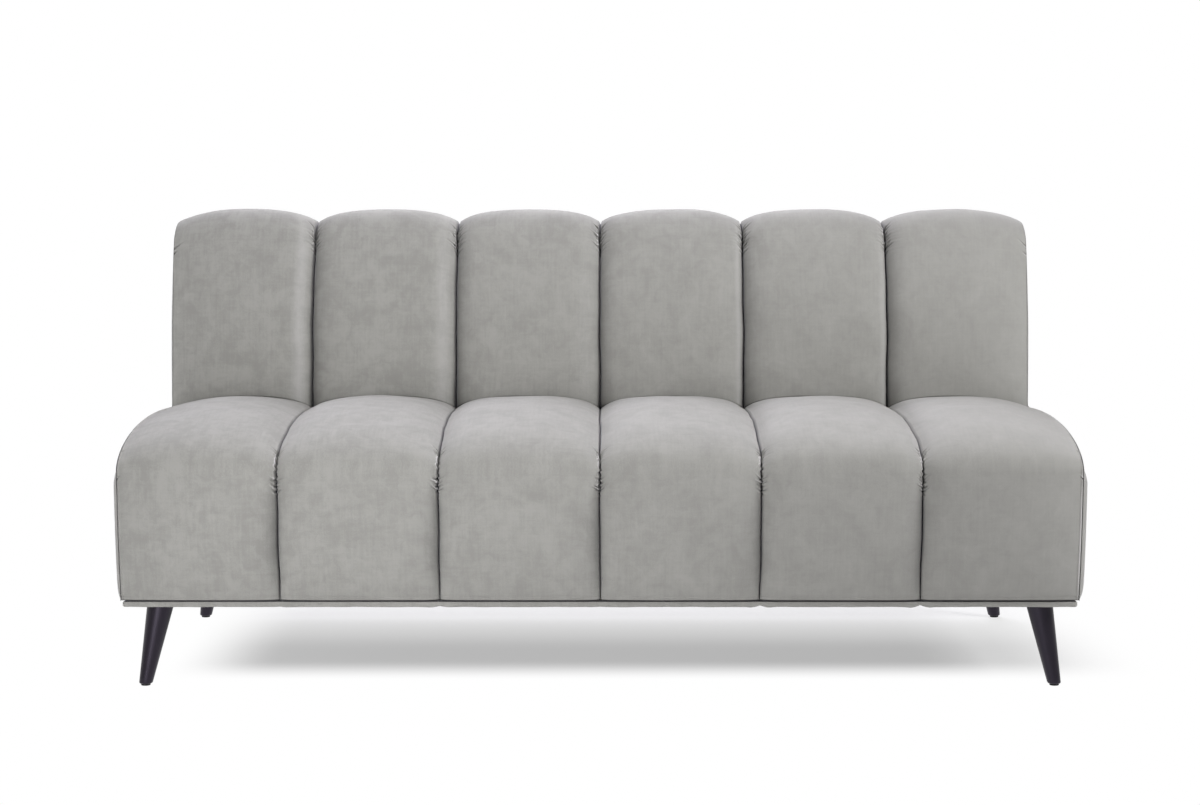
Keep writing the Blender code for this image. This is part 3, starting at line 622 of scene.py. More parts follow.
def seatProfile():
    topCount, noseCount, frontCount = seat["profile"]
    y = np.linspace(seatRear, seat["noseRun"], topCount)[:-1]
    top = sideView(y, seatSeamZ(y), 0.0, 1.0, seat["crown"])
    turn = np.linspace(0, np.pi / 2, noseCount)
    ny, nz = -np.sin(turn) / seat["noseRun"], np.cos(turn) / seat["noseDrop"]
    size = np.hypot(ny, nz)
    y, z = seat["noseRun"] * (1 - np.sin(turn)), noseFoot + seat["noseDrop"] * np.cos(turn)
    nose = sideView(y, z, ny / size, nz / size, seat["crown"])
    share = np.linspace(0, 1 - (seat["hemRoll"] + seat["hemLift"]) / (noseFoot - hem), frontCount)[1:]
    crown = between(seat["hemCrown"], seat["crown"], 1 - share ** 3)
    front = sideView(seat["tuck"] * share ** 2, between(noseFoot, hem, share), -1.0, 0.0, crown)
    return np.concatenate([top, nose, front])


rawSeat = seatProfile()


def seatArcAt(height):
    # length from the rear to a height on the nose or the front
    start = seat["profile"][0]
    return float(lengths(rawSeat)[start + np.argmin(np.abs(rawSeat[start:, 1] - height))])


upperGather, lowerGather = [seatArcAt(height) for height in seat["gatherHeights"]]
seatMiddle = (upperGather + lowerGather) / 2
seatEnd = seatArcAt(hem)
backFoot = seatRear - seat["underBack"]
seatArc, seatLine = spreadRows(rawSeat, seat["rows"], (  # centre, reach, how many more rows
    (seatMiddle, 0.06, 2.0), (upperGather, 0.014, 4.0), (lowerGather, 0.016, 4.0), (seatEnd, 0.010, 4.0)))
seatAlong = seatArc[:, None]
seatDown = np.clip((seatAlong - lowerGather) / (seatEnd - lowerGather), 0, 1)
seatCover = {
    "line": seatLine, "arc": seatArc, "along": seatAlong, "onBack": False,
    "padSeed": 300, "gatherSeed": 500,
    "easing": bell(seatAlong, seatMiddle, seat["easing"], 4),
    "closing": 1 - bell(seatAlong, seatEnd, seat["hemClosing"]),
    # where the painted lip highlight shows, just below the upper gathers
    "lips": bell(seatAlong, upperGather + seat["lipBelow"], seat["lipReach"], 4),
    # where the painted flank shade and highlight show: most halfway down the front, none above the lower
    # gathers or at the hem
    "flankMask": np.sin(np.pi * seatDown) ** seat["flankShadeFade"],
    "gathers": (  # centre, spread, count, slopes, reach
        (upperGather, 0.008, 5, (-1.3, -0.6), (0.008, 0.017)),
        (lowerGather, 0.010, 4, (-1.3, -0.6), (0.008, 0.016)),
    ),
    # the cover is filled in front of the back; the tail under the back's foot and the hem stay as they are
    "free": ((0.0, 0.0), (backFoot, 0.0), (backFoot + 0.05, 1.0), (seatEnd - 0.04, 1.0), (seatEnd, 0.0)),
}
seatCover["filled"] = fillCovers("SeatCovers", seat, seatCover)


def seatChannel(number):
    x, swell, edges, pressed = padChannel(number, seat, seatCover)
    # a row of stitches a little above the foot, and the foot turned under in a small roll
    swell = swell - seat["hemCrease"] * bell(seatEnd - seatAlong, seat["hemLip"], seat["hemStitch"])
    outer = swollen(x, *seatLine.T[:4, :, None], swell)
    roll = seat["hemRoll"]
    rows = [outer[-1] + np.array([0, roll * (1 - math.cos(turn)), -roll * math.sin(turn)])
            for turn in np.linspace(0, np.pi / 2, seat["turns"] + 1)[1:]]
    rows.append(rows[-1] + np.array(seat["tail"]))
    extra = len(rows)
    outer = np.concatenate([outer, np.stack(rows)])
    arc = np.concatenate([seatArc, seatArc[-1] + seat["turnStep"] * np.arange(1, extra + 1)])
    inner = innerEdges(edges, seatLine)
    tail = np.repeat(inner[-1:], extra, 0)
    tail[:, :, 1] += np.linspace(0, seat["innerTail"], extra)[:, None]
    inner = np.concatenate([inner, tail])
    # painted shade, darker towards the hem, and full painted shade on the foot turned under
    pressed = pressed + seat["hemShade"] * np.exp(-(seatEnd - seatAlong) / seat["hemClosing"])
    pressed = np.concatenate([pressed, np.full((extra, pressed.shape[1]), seamShading["seamShade"])])
    closeChannel("SeatChannel", "seat_channel", number, outer, inner, arc, 0.0, pressed)


for number in range(seams["channels"]):
    seatChannel(number)
print("seat channels made")

# Side view of the back: a straight foot, a long curve away and a roll over the top
back = {
    "seam": 0.563, "straightTop": 0.545, "curveRadius": 0.40, "curveAngle": math.radians(36),
    "rollRadius": 0.08, "profile": (60, 80, 160), "rows": 340,  # points on foot, curve and roll; cover's rows
    "crown": 0.028, "lipCrown": 0.006,
    "topPowers": (2.4, 0.8), "frontPowers": (4.4, 0.50), "endPowers": (2.2, 0.8), "endSeam": 0.0,
    "cleft": (0.0095, 0.0016, 0.0006), "easedLip": 0.0016, "topCleft": 0.3, "dip": (0.002, 0.007, 0.010),
    "gatherArc": 0.335, "easing": 0.032,
    # painted shade beside the seams (strength and reach, right and left), painted highlight on the lips and
    # end seams, painted shade on the front of the top roll
    "flankShade": ((0.52, 0.012), (0.12, 0.006)), "lipLight": 0.25, "endLight": 0.0, "topShade": 0.12,
    # painted highlight to the left of each seam: strength, distance, reach
    "flankHighlight": ((0.19, 0.024, 0.012), (0.12, 0.026, 0.014), (0.04, 0.030, 0.014), (0.17, 0.011, 0.005),
              (0.16, 0.009, 0.006)),
    "footRoll": 0.0006, "footGap": 0.0001, "innerFoot": 0.006, "clothStart": 3.0,
}
curveCentre = np.array([back["seam"] + back["curveRadius"], back["straightTop"]])
rollCentre = curveCentre + (back["curveRadius"] - back["rollRadius"]) * np.array(
    [-math.cos(back["curveAngle"]), math.sin(back["curveAngle"])])


def backProfile():
    footCount, curveCount, rollCount = back["profile"]
    z = np.linspace(seamHeight, back["straightTop"], footCount)[:-1]
    parts = [sideView(back["seam"], z, -1.0, 0.0, back["crown"])]
    curveTurn = np.linspace(0, back["curveAngle"], curveCount)[:-1]
    rollTurn = np.linspace(back["curveAngle"], np.pi, rollCount)
    for centre, radius, turn in ((curveCentre, back["curveRadius"], curveTurn),
                                 (rollCentre, back["rollRadius"], rollTurn)):
        crown = between(back["crown"], back["lipCrown"], np.clip(-np.cos(turn), 0, None))
        y, z = centre[0] - radius * np.cos(turn), centre[1] + radius * np.sin(turn)
        parts.append(sideView(y, z, -np.cos(turn), np.sin(turn), crown))
    return np.concatenate(parts)


backArc, backLine = spreadRows(backProfile(), back["rows"], (
    (back["gatherArc"] + 0.01, 0.055, 4.0), (0.0, 0.015, 1.5)))
backAlong = backArc[:, None]
backFront = np.clip(-backLine[:, 2, None], 0, 1)
backEasing = bell(backAlong, back["gatherArc"], back["easing"], 4)
backCover = {
    "line": backLine, "arc": backArc, "along": backAlong, "onBack": True,
    "padSeed": 400, "gatherSeed": 700,
    # the painted lip highlight follows the easing, and the painted flank shade and highlight show on the
    # front
    "easing": backEasing, "lips": backEasing, "flankMask": backFront,
    "closing": between(back["topCleft"], 1, backFront),
    "gathers": (  # centre, spread, count, slopes, reach
        (back["gatherArc"], 0.030, 10, (0.5, 1.0), (0.007, 0.015)),
        (back["gatherArc"] + 0.005, 0.022, 3, (0.4, 0.9), (0.014, 0.022)),
    ),
    # the foot on the seat and the end of the roll, at the outer back, stay as they are
    "free": ((0.0, 0.0), (0.03, 0.0), (0.09, 1.0), (backArc[-1] - 0.06, 1.0), (backArc[-1], 0.0)),
}
backCover["filled"] = fillCovers("BackCovers", back, backCover)


def backChannel(number):
    x, swell, edges, pressed = padChannel(number, back, backCover)
    y, z, ny, nz = backLine.T[:4, :, None]
    # the foot rests on the seat and rolls in
    seatTop = seatSeamZ(y[:1] - swell[:1]) + seat["crown"] * fullness(columnPlaces, 0.0, seat, number)
    seatTop = seatTop + back["footGap"]
    straight = z <= back["straightTop"]
    share = (z - seamHeight) / (back["straightTop"] - seamHeight)
    z = np.where(straight, between(seatTop, back["straightTop"], share), z)
    roll = back["footRoll"]
    height = np.clip(z - seatTop, 0, roll)
    swell = swell - np.where(straight, roll - np.sqrt(roll ** 2 - (roll - height) ** 2), 0)
    outer = swollen(x, y, z, ny, nz, swell)
    inner = innerEdges(edges, backLine, seamHeight - back["innerFoot"])
    # painted shade over the front of the top roll
    pressed = pressed + back["topShade"] * (4 * backFront * (1 - backFront)) ** 2
    closeChannel("BackChannel", "back_channel", number, outer, inner, backArc, back["clothStart"], pressed)


for number in range(seams["channels"]):
    backChannel(number)
print("back channels made")

# End panels and outer back: stretched cloth that bulges a little from its edges to its middle
panels = {
    "lap": 0.00005, "edge": 0.0003, "partGap": 0.0003, "partSkip": 0.01,
    "clothStart": 7.0, "clothApart": 2.0, "outerClothStart": 12.0,  # where each is cut from the cloth
    "seatGrid": (110, 70), "seatBulge": {"Left": 0.0088, "Right": 0.0112},
    "rearEdge": 0.012, "frontEdge": 0.009, "topEdge": 0.045, "hemEdge": 0.008,
    "noseFrom": 0.40, "noseOver": 0.03,
    "backGrid": (110, 60), "backRear": 60, "backFull": 0.850, "backEdge": 0.022, "backShell": 0.002,
    "outerGrid": (60, 140), "outerThick": 0.005, "outerCrown": 0.004, "outerEdge": 0.02,
    "outerUneven": 0.0004,
    "outerSkins": (0.0035, 0.0048),  # how far the two skins of the outer back lie in from its rear face
}
outerLow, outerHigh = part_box("outer_back_panel")
parting = float(seatSeamZ(np.array(back["seam"])))


def outerBackY(z):
    # rear face of the outer back, counted from the front seams
    lean = outerHigh.y - outerLow.y - panels["outerThick"]
    share = (z - hem) / (rollCentre[1] - hem)
    return outerLow.y - frontSeam + panels["outerThick"] + lean * share


def outerBackLine(low, high, count):
    z = np.linspace(low, high, count)
    return np.stack([outerBackY(z), z], 1)


def nearest(points, line):
    gap = np.linalg.norm(points[:, None, :] - line[None, :, :], axis=2)
    return gap.min(1), gap.argmin(1)


def evenly(line, count):
    arc = lengths(line)
    return sample(line, arc, np.linspace(0, arc[-1], count))


def crowdedEnds(count):
    return (1 - np.cos(np.linspace(0, np.pi, count))) / 2


def ruledGrid(frontLine, rearLine, across):
    return between(frontLine[:, None, :], rearLine[:, None, :], crowdedEnds(across)[None, :, None])


def twoSkins(name, node, outer, inner, uv):
    # an outer skin and an inner skin a few millimetres apart, joined round the rim
    rows, across = outer.shape[:2]
    count = rows * across
    index = np.arange(count).reshape(rows, across)
    rim = [*index[0], *index[1:, -1], *index[-1, -2::-1], *index[-2:0:-1, 0]]
    faces = gridFaces(rows, across) + gridFaces(rows, across, count)
    for a, b in zip(rim, rim[1:] + rim[:1]):
        faces.append((a, b, b + count, a + count))
    points = np.concatenate([outer.reshape(-1, 3), inner.reshape(-1, 3)])
    makePiece(name, node, points, faces, velvet, np.tile(uv.reshape(-1, 2), (2, 1)))


def sidePanel(name, node, side, word, grid, outX, inX):
    y, z = frontSeam + grid[..., 0], grid[..., 1]
    outer, inner = [np.dstack([side * x.reshape(y.shape), y, z]) for x in (outX, inX)]
    uv = grid + np.array([panels["clothStart"] + panels["clothApart"] * side, 0])
    twoSkins(f"{name}{word}", f"{node}_{word.lower()}", outer, inner, uv)


def seatEndPanel(side, word):
    rows, across = panels["seatGrid"]
    seam = seatLine[::-1, :2]
    seam = seam[seam[:, 0] < back["seam"]]
    front = evenly(np.concatenate([[[seat["tuck"], hem]], seam, [[back["seam"], parting]]]), rows)
    grid = ruledGrid(front, outerBackLine(hem, parting, rows), across)
    y, z = grid.reshape(-1, 2).T
    toSeam, where = nearest(grid.reshape(-1, 2), front)
    onFront = np.clip((panels["noseFrom"] - front[where, 1]) / panels["noseOver"], 0, 1)
    rise = 1 - np.exp(-toSeam / between(panels["topEdge"], panels["frontEdge"], onFront))
    rise = rise * (1 - np.exp(-(z - hem) / panels["hemEdge"]))
    rise = rise * (1 - np.exp(-(outerBackY(z) - y) / panels["rearEdge"]))
    inX = np.full(len(rise), seams["end"] + panels["lap"])
    outX = inX + panels["edge"] + panels["seatBulge"][word] * rise
    sidePanel("SeatEnd", "seat_end_panel", side, word, grid, outX, inX)


def backEndPanel(side, word):
    rows, across = panels["backGrid"]
    foot = parting + panels["partGap"]
    first = int(np.argmax(backLine[:, 1] > parting + panels["partSkip"]))
    top = int(np.argmax(backLine[:, 1]))
    front = np.concatenate([[[back["seam"], foot]], backLine[first:top + 1, :2]])
    arc = np.concatenate([[0], backArc[first:top + 1]])
    rear = outerBackLine(foot, rollCentre[1], panels["backRear"])
    rear = np.concatenate([rear, backLine[:top - 1:-1, :2]])
    grid = ruledGrid(evenly(front, rows), evenly(rear, rows), across)
    flat = grid.reshape(-1, 2)
    toSeam, _ = nearest(flat, np.concatenate([front, rear]))
    _, where = nearest(flat, front)
    rise = 1 - np.exp(-toSeam / panels["backEdge"])
    start = np.interp(arc[where], *zip(*seams["backEnd"])) + panels["lap"] + panels["edge"]
    outX = between(start, panels["backFull"], rise)
    inX = outX - panels["edge"] - panels["backShell"] * rise
    sidePanel("BackEnd", "back_end_panel", side, word, grid, outX, inX)


def outerBackPanel():
    rows, across = panels["outerGrid"]
    wide, high = outerHigh.x, outerHigh.z
    x = wide * np.sin(np.pi / 2 * np.linspace(-1, 1, across))
    xx, zz = np.meshgrid(x, between(hem, high, crowdedEnds(rows)))
    edge = np.minimum(wide - np.abs(xx), np.minimum(zz - hem, high - zz))
    full = 1 - np.exp(-edge / panels["outerEdge"])
    crown = full * (panels["outerCrown"] + unevenness(900, xx, zz, panels["outerUneven"]))
    face = frontSeam + outerBackY(zz)
    outer, inner = [np.dstack([xx, face - inset, zz]) for inset in panels["outerSkins"]]
    outer[..., 1] += crown
    uv = np.dstack([xx, zz]) + np.array([panels["outerClothStart"], 0])
    twoSkins("OuterBack", "outer_back_panel", outer, inner, uv)


for side, word in ((-1, "Left"), (1, "Right")):
    seatEndPanel(side, word)
    backEndPanel(side, word)
outerBackPanel()

# Band under the hem: a padded strip just clear of the foot of the covers, with a nick below each seam and
# painted shade along its top
band = {
    "top": 0.0010, "bottom": 0.0030, "gap": 0.0008, "clear": 0.0014, "step": 0.0025, "endRound": 0.004,
    "endShrink": 0.3, "wave": 0.0004, "waves": (0.05, 0.083, 0.19), "girth": 0.05, "clothStart": 20.0,
    "notches": (0.0008, 0.0020, 0.0008, 0.0034, 0.0038), "notchWidth": 0.0055, "shadedBelow": 0.0002,
    "beside": (0.3, 0.016, 0.008),  # beside a nick the edge hangs lower: share, distance, reach
}


def bandStrip(word, along, notches):
    name, node = f"Band{word}", f"base_band_{word.lower()}"
    low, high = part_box(node)
    across = 1 - along
    start, end = low[along], high[along]
    places = np.linspace(start, end, int((end - start) / band["step"]))
    wide, tall = (high[across] - low[across]) / 2, (high.z - low.z - band["gap"] - band["clear"]) / 2
    section = []
    for signY, signZ, r, first in ((1, 1, band["top"], 0), (-1, 1, band["top"], 90),
                                   (-1, -1, band["bottom"], 180), (1, -1, band["bottom"], 270)):
        for turn in np.radians(np.linspace(first, first + 90, 6)):
            out, up = signY * (wide - r) + r * math.cos(turn), signZ * (tall - r) + r * math.sin(turn)
            section.append((out, up))
    section = np.array(section)
    ends = np.clip(np.minimum(places - start, end - places) / band["endRound"], 0, 1)
    shrink = 1 - band["endShrink"] * (1 - np.sqrt(np.clip(1 - (1 - ends) ** 2, 0, 1)))
    lift = wander(len(name), places, band["waves"], band["wave"])
    share, distance, reach = band["beside"]
    for place, size in notches:
        away = np.abs(places - place)
        lift = lift + size * (np.exp(-away / band["notchWidth"]) - share * bell(away, distance, reach))
    points = np.zeros((len(places), len(section), 3))
    points[:, :, along] = places[:, None]
    points[:, :, across] = (low[across] + high[across]) / 2 + section[None, :, 0] * shrink[:, None]
    points[:, :, 2] = low.z + band["clear"] + tall + section[None, :, 1] * shrink[:, None]
    points[:, section[:, 1] < 0, 2] += lift[:, None]
    count = len(section)
    girth = np.tile(np.linspace(0, band["girth"], count), len(places))
    uv = np.stack([np.repeat(places, count) + band["clothStart"], girth], 1)
    # painted shade along the band's top, under the hem, fading at the rounded ends
    pressed = ends[:, None] * np.where(section[:, 1] > tall - band["shadedBelow"], seamShading["seamShade"], 0)
    faces = ringFaces(len(places), count)
    makePiece(name, node, points.reshape(-1, 3), faces, velvet, uv, pressed)


seamPlaces = [(seam + 1 - seams["channels"] / 2) * seams["pitch"] for seam in range(len(band["notches"]))]
bandStrip("Front", 0, list(zip(seamPlaces, band["notches"])))
bandStrip("Rear", 0, [])
bandStrip("Left", 1, [])
bandStrip("Right", 1, [])
print("panels and band made")

legPlaces = ("front_left", "front_right", "rear_left", "rear_right")
legs = {"sides": 64, "topRadius": 0.025, "footRadius": 0.012, "footRound": 0.003, "topRound": 0.0015,
        "rings": 14, "ringsFrom": 0.012, "ringsShort": 0.004}
glides = {"sides": 40, "round": 0.0009, "dimple": 0.0025, "dimpleDepth": 0.0008, "dimpleSlope": 0.0006,
          "chamfer": 0.0004, "middle": 0.0003}


def quarterRound(radius, count):
    return [(radius * (1 - math.cos(turn)), radius * (1 - math.sin(turn)))
            for turn in np.linspace(0, math.pi / 2, count)]


def turnedPiece(name, node, outline, foot, lean, bottom, sides, material):
    # rings of the outline's (radius, height) pairs round a straight line that leans from the foot up
    turn = np.linspace(0, 2 * np.pi, sides, endpoint=False)
    points = []
    for radius, up in outline:
        x = foot.x + lean.x * up + radius * np.cos(turn)
        y = foot.y + lean.y * up + radius * np.sin(turn)
        points.append(np.stack([x, y, np.full(sides, bottom + up)], 1))
    makePiece(name, node, np.concatenate(points), ringFaces(len(outline), sides), material)


def makeLeg(word, place):
    plateLow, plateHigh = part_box(f"leg_plate_{place}")
    glideLow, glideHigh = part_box(f"leg_glide_{place}")
    legLow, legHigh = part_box(f"leg_{place}")
    top = (plateLow + plateHigh) / 2
    foot = (glideLow + glideHigh) / 2
    height = legHigh.z - legLow.z
    rings = np.linspace(legs["ringsFrom"], height - legs["ringsShort"], legs["rings"])
    stations = quarterRound(legs["footRound"], 6) + [(up, 0.0) for up in rings]
    stations += [(height - drop, inset) for inset, drop in quarterRound(legs["topRound"], 4)]
    outline = []
    for up, inset in stations:
        outline.append((between(legs["footRadius"], legs["topRadius"], up / height) - inset, up))
    lean = (top - foot) / height
    turnedPiece(f"Leg{word}", f"leg_{place}", outline, foot, lean, legLow.z, legs["sides"], legLacquer)


def makeGlide(word, place):
    low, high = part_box(f"leg_glide_{place}")
    radius, height, middle = (high.x - low.x) / 2, high.z - low.z, glides["middle"]
    dimple, depth, chamfer = glides["dimple"], glides["dimpleDepth"], glides["chamfer"]
    # from the middle of the underside out, up the edge and in over the top
    outline = [(middle, depth), (dimple, depth), (dimple + glides["dimpleSlope"], 0)]
    outline += [(radius - inset, up) for up, inset in quarterRound(glides["round"], 5)]
    outline += [(radius, height - chamfer), (radius - chamfer, height), (middle, height)]
    centre, upright = (low + high) / 2, Vector()
    turnedPiece(f"Glide{word}", f"leg_glide_{place}", outline, centre, upright, low.z, glides["sides"], nylon)


for legPlace in legPlaces:
    word = legPlace.title().replace("_", "")
    makeLeg(word, legPlace)
    makeGlide(word, legPlace)
print("legs and glides made")

# Dust cover: a black cambric sheet stapled under the frame, which sags a little in each bay
dust = {"thick": 0.0007, "sag": 0.0024, "below": 0.0004, "uneven": 0.0004, "bayShape": 0.8, "depthShape": 0.7,
        "notchGap": 0.0003, "columns": (5, 81), "rows": (5, 33)}
dustLow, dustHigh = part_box("dust_cover")


def dustZ(x, y):
    bay = np.abs(np.sin(np.pi * (x / seams["pitch"] + 1) / 2)) ** dust["bayShape"]
    depth = (y - dustLow.y) / (dustHigh.y - dustLow.y)
    sag = dust["sag"] * bay * np.clip(np.sin(np.pi * depth), 0, 1) ** dust["depthShape"]
    return dustHigh.z - dust["below"] - sag + unevenness(950, x, y, dust["uneven"])


def plateEdges(gap):
    # inner edges of the leg plates with a gap beside them: x, front and rear
    frontLow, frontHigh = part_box("leg_plate_front_right")
    rearLow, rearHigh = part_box("leg_plate_rear_right")
    return frontLow.x - gap, frontHigh.y + gap, rearLow.y - gap


def threeRuns(places, counts):
    # the sheet's lines, close together at its ends
    near, far = counts
    runs = zip(places, places[1:], (near, far, near))
    return np.unique(np.concatenate([np.linspace(start, end, count) for start, end, count in runs]))


def makeDustCover():
    notchX, notchFront, notchRear = plateEdges(dust["notchGap"])
    xs = threeRuns((-dustHigh.x, -notchX, notchX, dustHigh.x), dust["columns"])
    ys = threeRuns((dustLow.y, notchFront, notchRear, dustHigh.y), dust["rows"])
    xx, yy = np.meshgrid(xs, ys)
    top = np.stack([xx, yy, dustZ(xx, yy)], 2).reshape(-1, 3)
    keep = {}
    faces = []
    for face in gridFaces(len(ys), len(xs)):
        midX, midY = top[face].mean(0)[:2]
        if abs(midX) > notchX and (midY < notchFront or midY > notchRear):
            continue
        faces.append([keep.setdefault(corner, len(keep)) for corner in face])
    piece = makePiece("DustCover", "dust_cover", top[list(keep)], faces, cambric)
    wall = piece.modifiers.new("cloth thickness", "SOLIDIFY")
    wall.thickness = dust["thick"]
    wall.offset = 0


makeDustCover()
print("dust cover made")


def softInside(name, node, material, bevel, squeeze=1.0):
    # a rounded copy of a hidden soft solid
    shape = bmesh.new()
    shape.from_mesh(nodes[node].data)
    bmesh.ops.remove_doubles(shape, verts=shape.verts, dist=0.00002)
    bmesh.ops.dissolve_limit(shape, angle_limit=0.01, verts=shape.verts, edges=shape.edges)
    for vert in shape.verts:
        vert.co.x *= squeeze
    mesh = bpy.data.meshes.new(name)
    shape.to_mesh(mesh)
    shape.free()
    mesh.materials.append(material)
    piece = addObject(name, mesh)
    if bevel:
        soften = piece.modifiers.new("soft edge", "BEVEL")
        soften.width = bevel
        soften.segments = 3
        soften.limit_method = "ANGLE"
    declare(piece, node)


softInside("SeatFoam", "seat_foam_core", foam, 0.004)
softInside("BackFoam", "back_foam", foam, 0.003, squeeze=0.99)
softInside("DeckPad", "seat_deck_pad", felt, 0.0015)
softInside("BackWebbing", "back_webbing", jute, 0)
finishes = {"frame_timber": pine, "steel": zincPlate}
for nodeName, node in nodes.items():
    if node.hide_render:
        continue
    for place in node.material_slots:
        finish = springSteel if nodeName == "seat_spring_unit" else finishes.get(place.material.name)
        if finish:
            place.material = finish
print("inside finished")


def newTree(name, *sizes):
    tree = bpy.data.node_groups.new(name, "GeometryNodeTree")
    inputs = [("Geometry", "Geometry"), *[(size, "Float") for size in sizes], ("Finish", "Material")]
    for label, kind in inputs:
        tree.interface.new_socket(label, in_out="INPUT", socket_type=f"NodeSocket{kind}")
    tree.interface.new_socket("Geometry", in_out="OUTPUT", socket_type="NodeSocketGeometry")
    return tree, addNode(tree, "NodeGroupInput").outputs


def endTree(tree, points, single, turn, finish):
    sockets = {"Points": points, "Instance": single}
    if turn:
        sockets["Rotation"] = turn
    laid = addNode(tree, "GeometryNodeInstanceOnPoints", sockets)
    real = addNode(tree, "GeometryNodeRealizeInstances", {0: laid})
    painted = addNode(tree, "GeometryNodeSetMaterial", {"Geometry": real, "Material": finish})
    addNode(tree, "NodeGroupOutput", {0: painted})


def runTree(name, points, edges, tree, settings, finish):
    mesh = bpy.data.meshes.new(name)
    mesh.from_pydata([tuple(map(float, point)) for point in points], edges, [])
    piece = addObject(name, mesh)
    maker = piece.modifiers.new(name, "NODES")
    maker.node_group = tree
    values = {**settings, "finish": finish}
    for item in tree.interface.items_tree:
        if item.in_out == "INPUT" and item.name.lower() in values:
            maker[item.identifier] = values[item.name.lower()]
    evaluated = piece.evaluated_get(bpy.context.evaluated_depsgraph_get())
    made = bpy.data.meshes.new_from_object(evaluated)
    piece.modifiers.clear()
    piece.data = made
    declare(piece, None)


def rowTree(name, rounded):
    # short lengths of wire or thread, end to end with gaps along a path
    tree, given = newTree(name, "Gap", "Length", "Thickness", "Slant")
    path = addNode(tree, "GeometryNodeMeshToCurve", {"Mesh": given["Geometry"]})
    spots = addNode(tree, "GeometryNodeCurveToPoints", {
        "Curve": path, "Length": given["Gap"]}, mode="LENGTH").outputs
    if rounded:
        bead = addNode(tree, "GeometryNodeMeshUVSphere", {"Segments": 8, "Rings": 6, "Radius": 0.5})
        size = addNode(tree, "ShaderNodeCombineXYZ", {
            0: given["Thickness"], 1: given["Thickness"], 2: given["Length"]})
        turn = addNode(tree, "ShaderNodeCombineXYZ", {0: given["Slant"], 1: given["Slant"]})
        single = addNode(tree, "GeometryNodeTransform", {
            "Geometry": bead.outputs["Mesh"], "Scale": size, "Rotation": turn})
    else:
        half = addNode(tree, "ShaderNodeMath", {0: given["Thickness"], 1: 0.5}, operation="MULTIPLY")
        single = addNode(tree, "GeometryNodeMeshCylinder", {
            "Vertices": 8, "Radius": half, "Depth": given["Length"]})
    endTree(tree, spots["Points"], single, spots["Rotation"], given["Finish"])
    return tree


def screwTree():
    # pan heads with a cross cut, facing down
    tree, given = newTree("plate screws", "Head", "Height", "Slot")
    ball = addNode(tree, "GeometryNodeMeshUVSphere", {"Segments": 20, "Rings": 10, "Radius": 0.5})
    size = addNode(tree, "ShaderNodeCombineXYZ", {0: given["Head"], 1: given["Head"], 2: given["Height"]})
    head = addNode(tree, "GeometryNodeTransform", {"Geometry": ball.outputs["Mesh"], "Scale": size})
    long = addNode(tree, "ShaderNodeMath", {0: given["Head"], 1: 0.62}, operation="MULTIPLY")
    drop = addNode(tree, "ShaderNodeMath", {0: given["Height"], 1: -0.72}, operation="MULTIPLY")
    lower = addNode(tree, "ShaderNodeCombineXYZ", {2: drop})
    cut = addNode(tree, "GeometryNodeMeshBoolean", {0: head}, operation="DIFFERENCE")
    for first, second in ((long, given["Slot"]), (given["Slot"], long)):
        bar = addNode(tree, "ShaderNodeCombineXYZ", {0: first, 1: second, 2: given["Height"]})
        block = addNode(tree, "GeometryNodeMeshCube", {"Size": bar})
        placed = addNode(tree, "GeometryNodeTransform", {
            "Geometry": block.outputs["Mesh"], "Translation": lower})
        tree.links.new(placed.outputs[0], cut.inputs["Mesh 2"])
    endTree(tree, given["Geometry"], cut, None, given["Finish"])
    return tree


def polyline(ends, pieces):
    points, edges = [], []
    for a, b in ends:
        start = len(points)
        points += [between(np.array(a), np.array(b), k / pieces) for k in range(pieces + 1)]
        edges += [(start + k, start + k + 1) for k in range(pieces)]
    return np.array(points), edges


staples = {"gap": 0.042, "length": 0.010, "thickness": 0.0009, "inset": 0.006, "clear": 0.012,
           "proud": 0.0004}


def dustCoverStaples():
    x, sideFront, sideRear = plateEdges(staples["clear"])
    front, rear = dustLow.y + staples["inset"], dustHigh.y - staples["inset"]
    sideX = dustHigh.x - staples["inset"]
    rows = [((-x, y), (x, y)) for y in (front, rear)]
    rows += [((side, sideFront), (side, sideRear)) for side in (-sideX, sideX)]
    points, edges = polyline(rows, 40)
    z = dustZ(points[:, 0], points[:, 1]) - dust["thick"] / 2 - staples["proud"]
    points = np.column_stack([points, z])
    runTree("DustCoverStaples", points, edges, rowTree("staple row", False), staples, zincPlate)


stitches = {"gap": 0.011, "length": 0.0065, "thickness": 0.0009, "slant": 0.25, "inset": 0.0024,
            "clear": 0.012, "outside": 0.0002}


def outerBackStitches():
    # the outer back is sewn to the end panels by hand, with slip stitches that just show
    rows = []
    for side in (-1, 1):
        x = side * (outerHigh.x + stitches["outside"])
        heights = (hem + stitches["clear"], outerHigh.z - stitches["clear"])
        rows.append([(x, frontSeam + outerBackY(z) - stitches["inset"], z) for z in heights])
    points, edges = polyline(rows, 30)
    runTree("OuterBackStitches", points, edges, rowTree("slip stitches", True), stitches, thread)


screws = {"head": 0.0066, "height": 0.0026, "slot": 0.0011, "inset": 0.009, "sunk": 0.0001}


def plateScrews():
    points = []
    for place in legPlaces:
        low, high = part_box(f"leg_plate_{place}")
        for x in (low.x + screws["inset"], high.x - screws["inset"]):
            for y in (low.y + screws["inset"], high.y - screws["inset"]):
                points.append((x, y, low.z + screws["sunk"]))
    runTree("PlateScrews", points, [], screwTree(), screws, zincPlate)


dustCoverStaples()
outerBackStitches()
plateScrews()
print("staples, stitches and screws made")

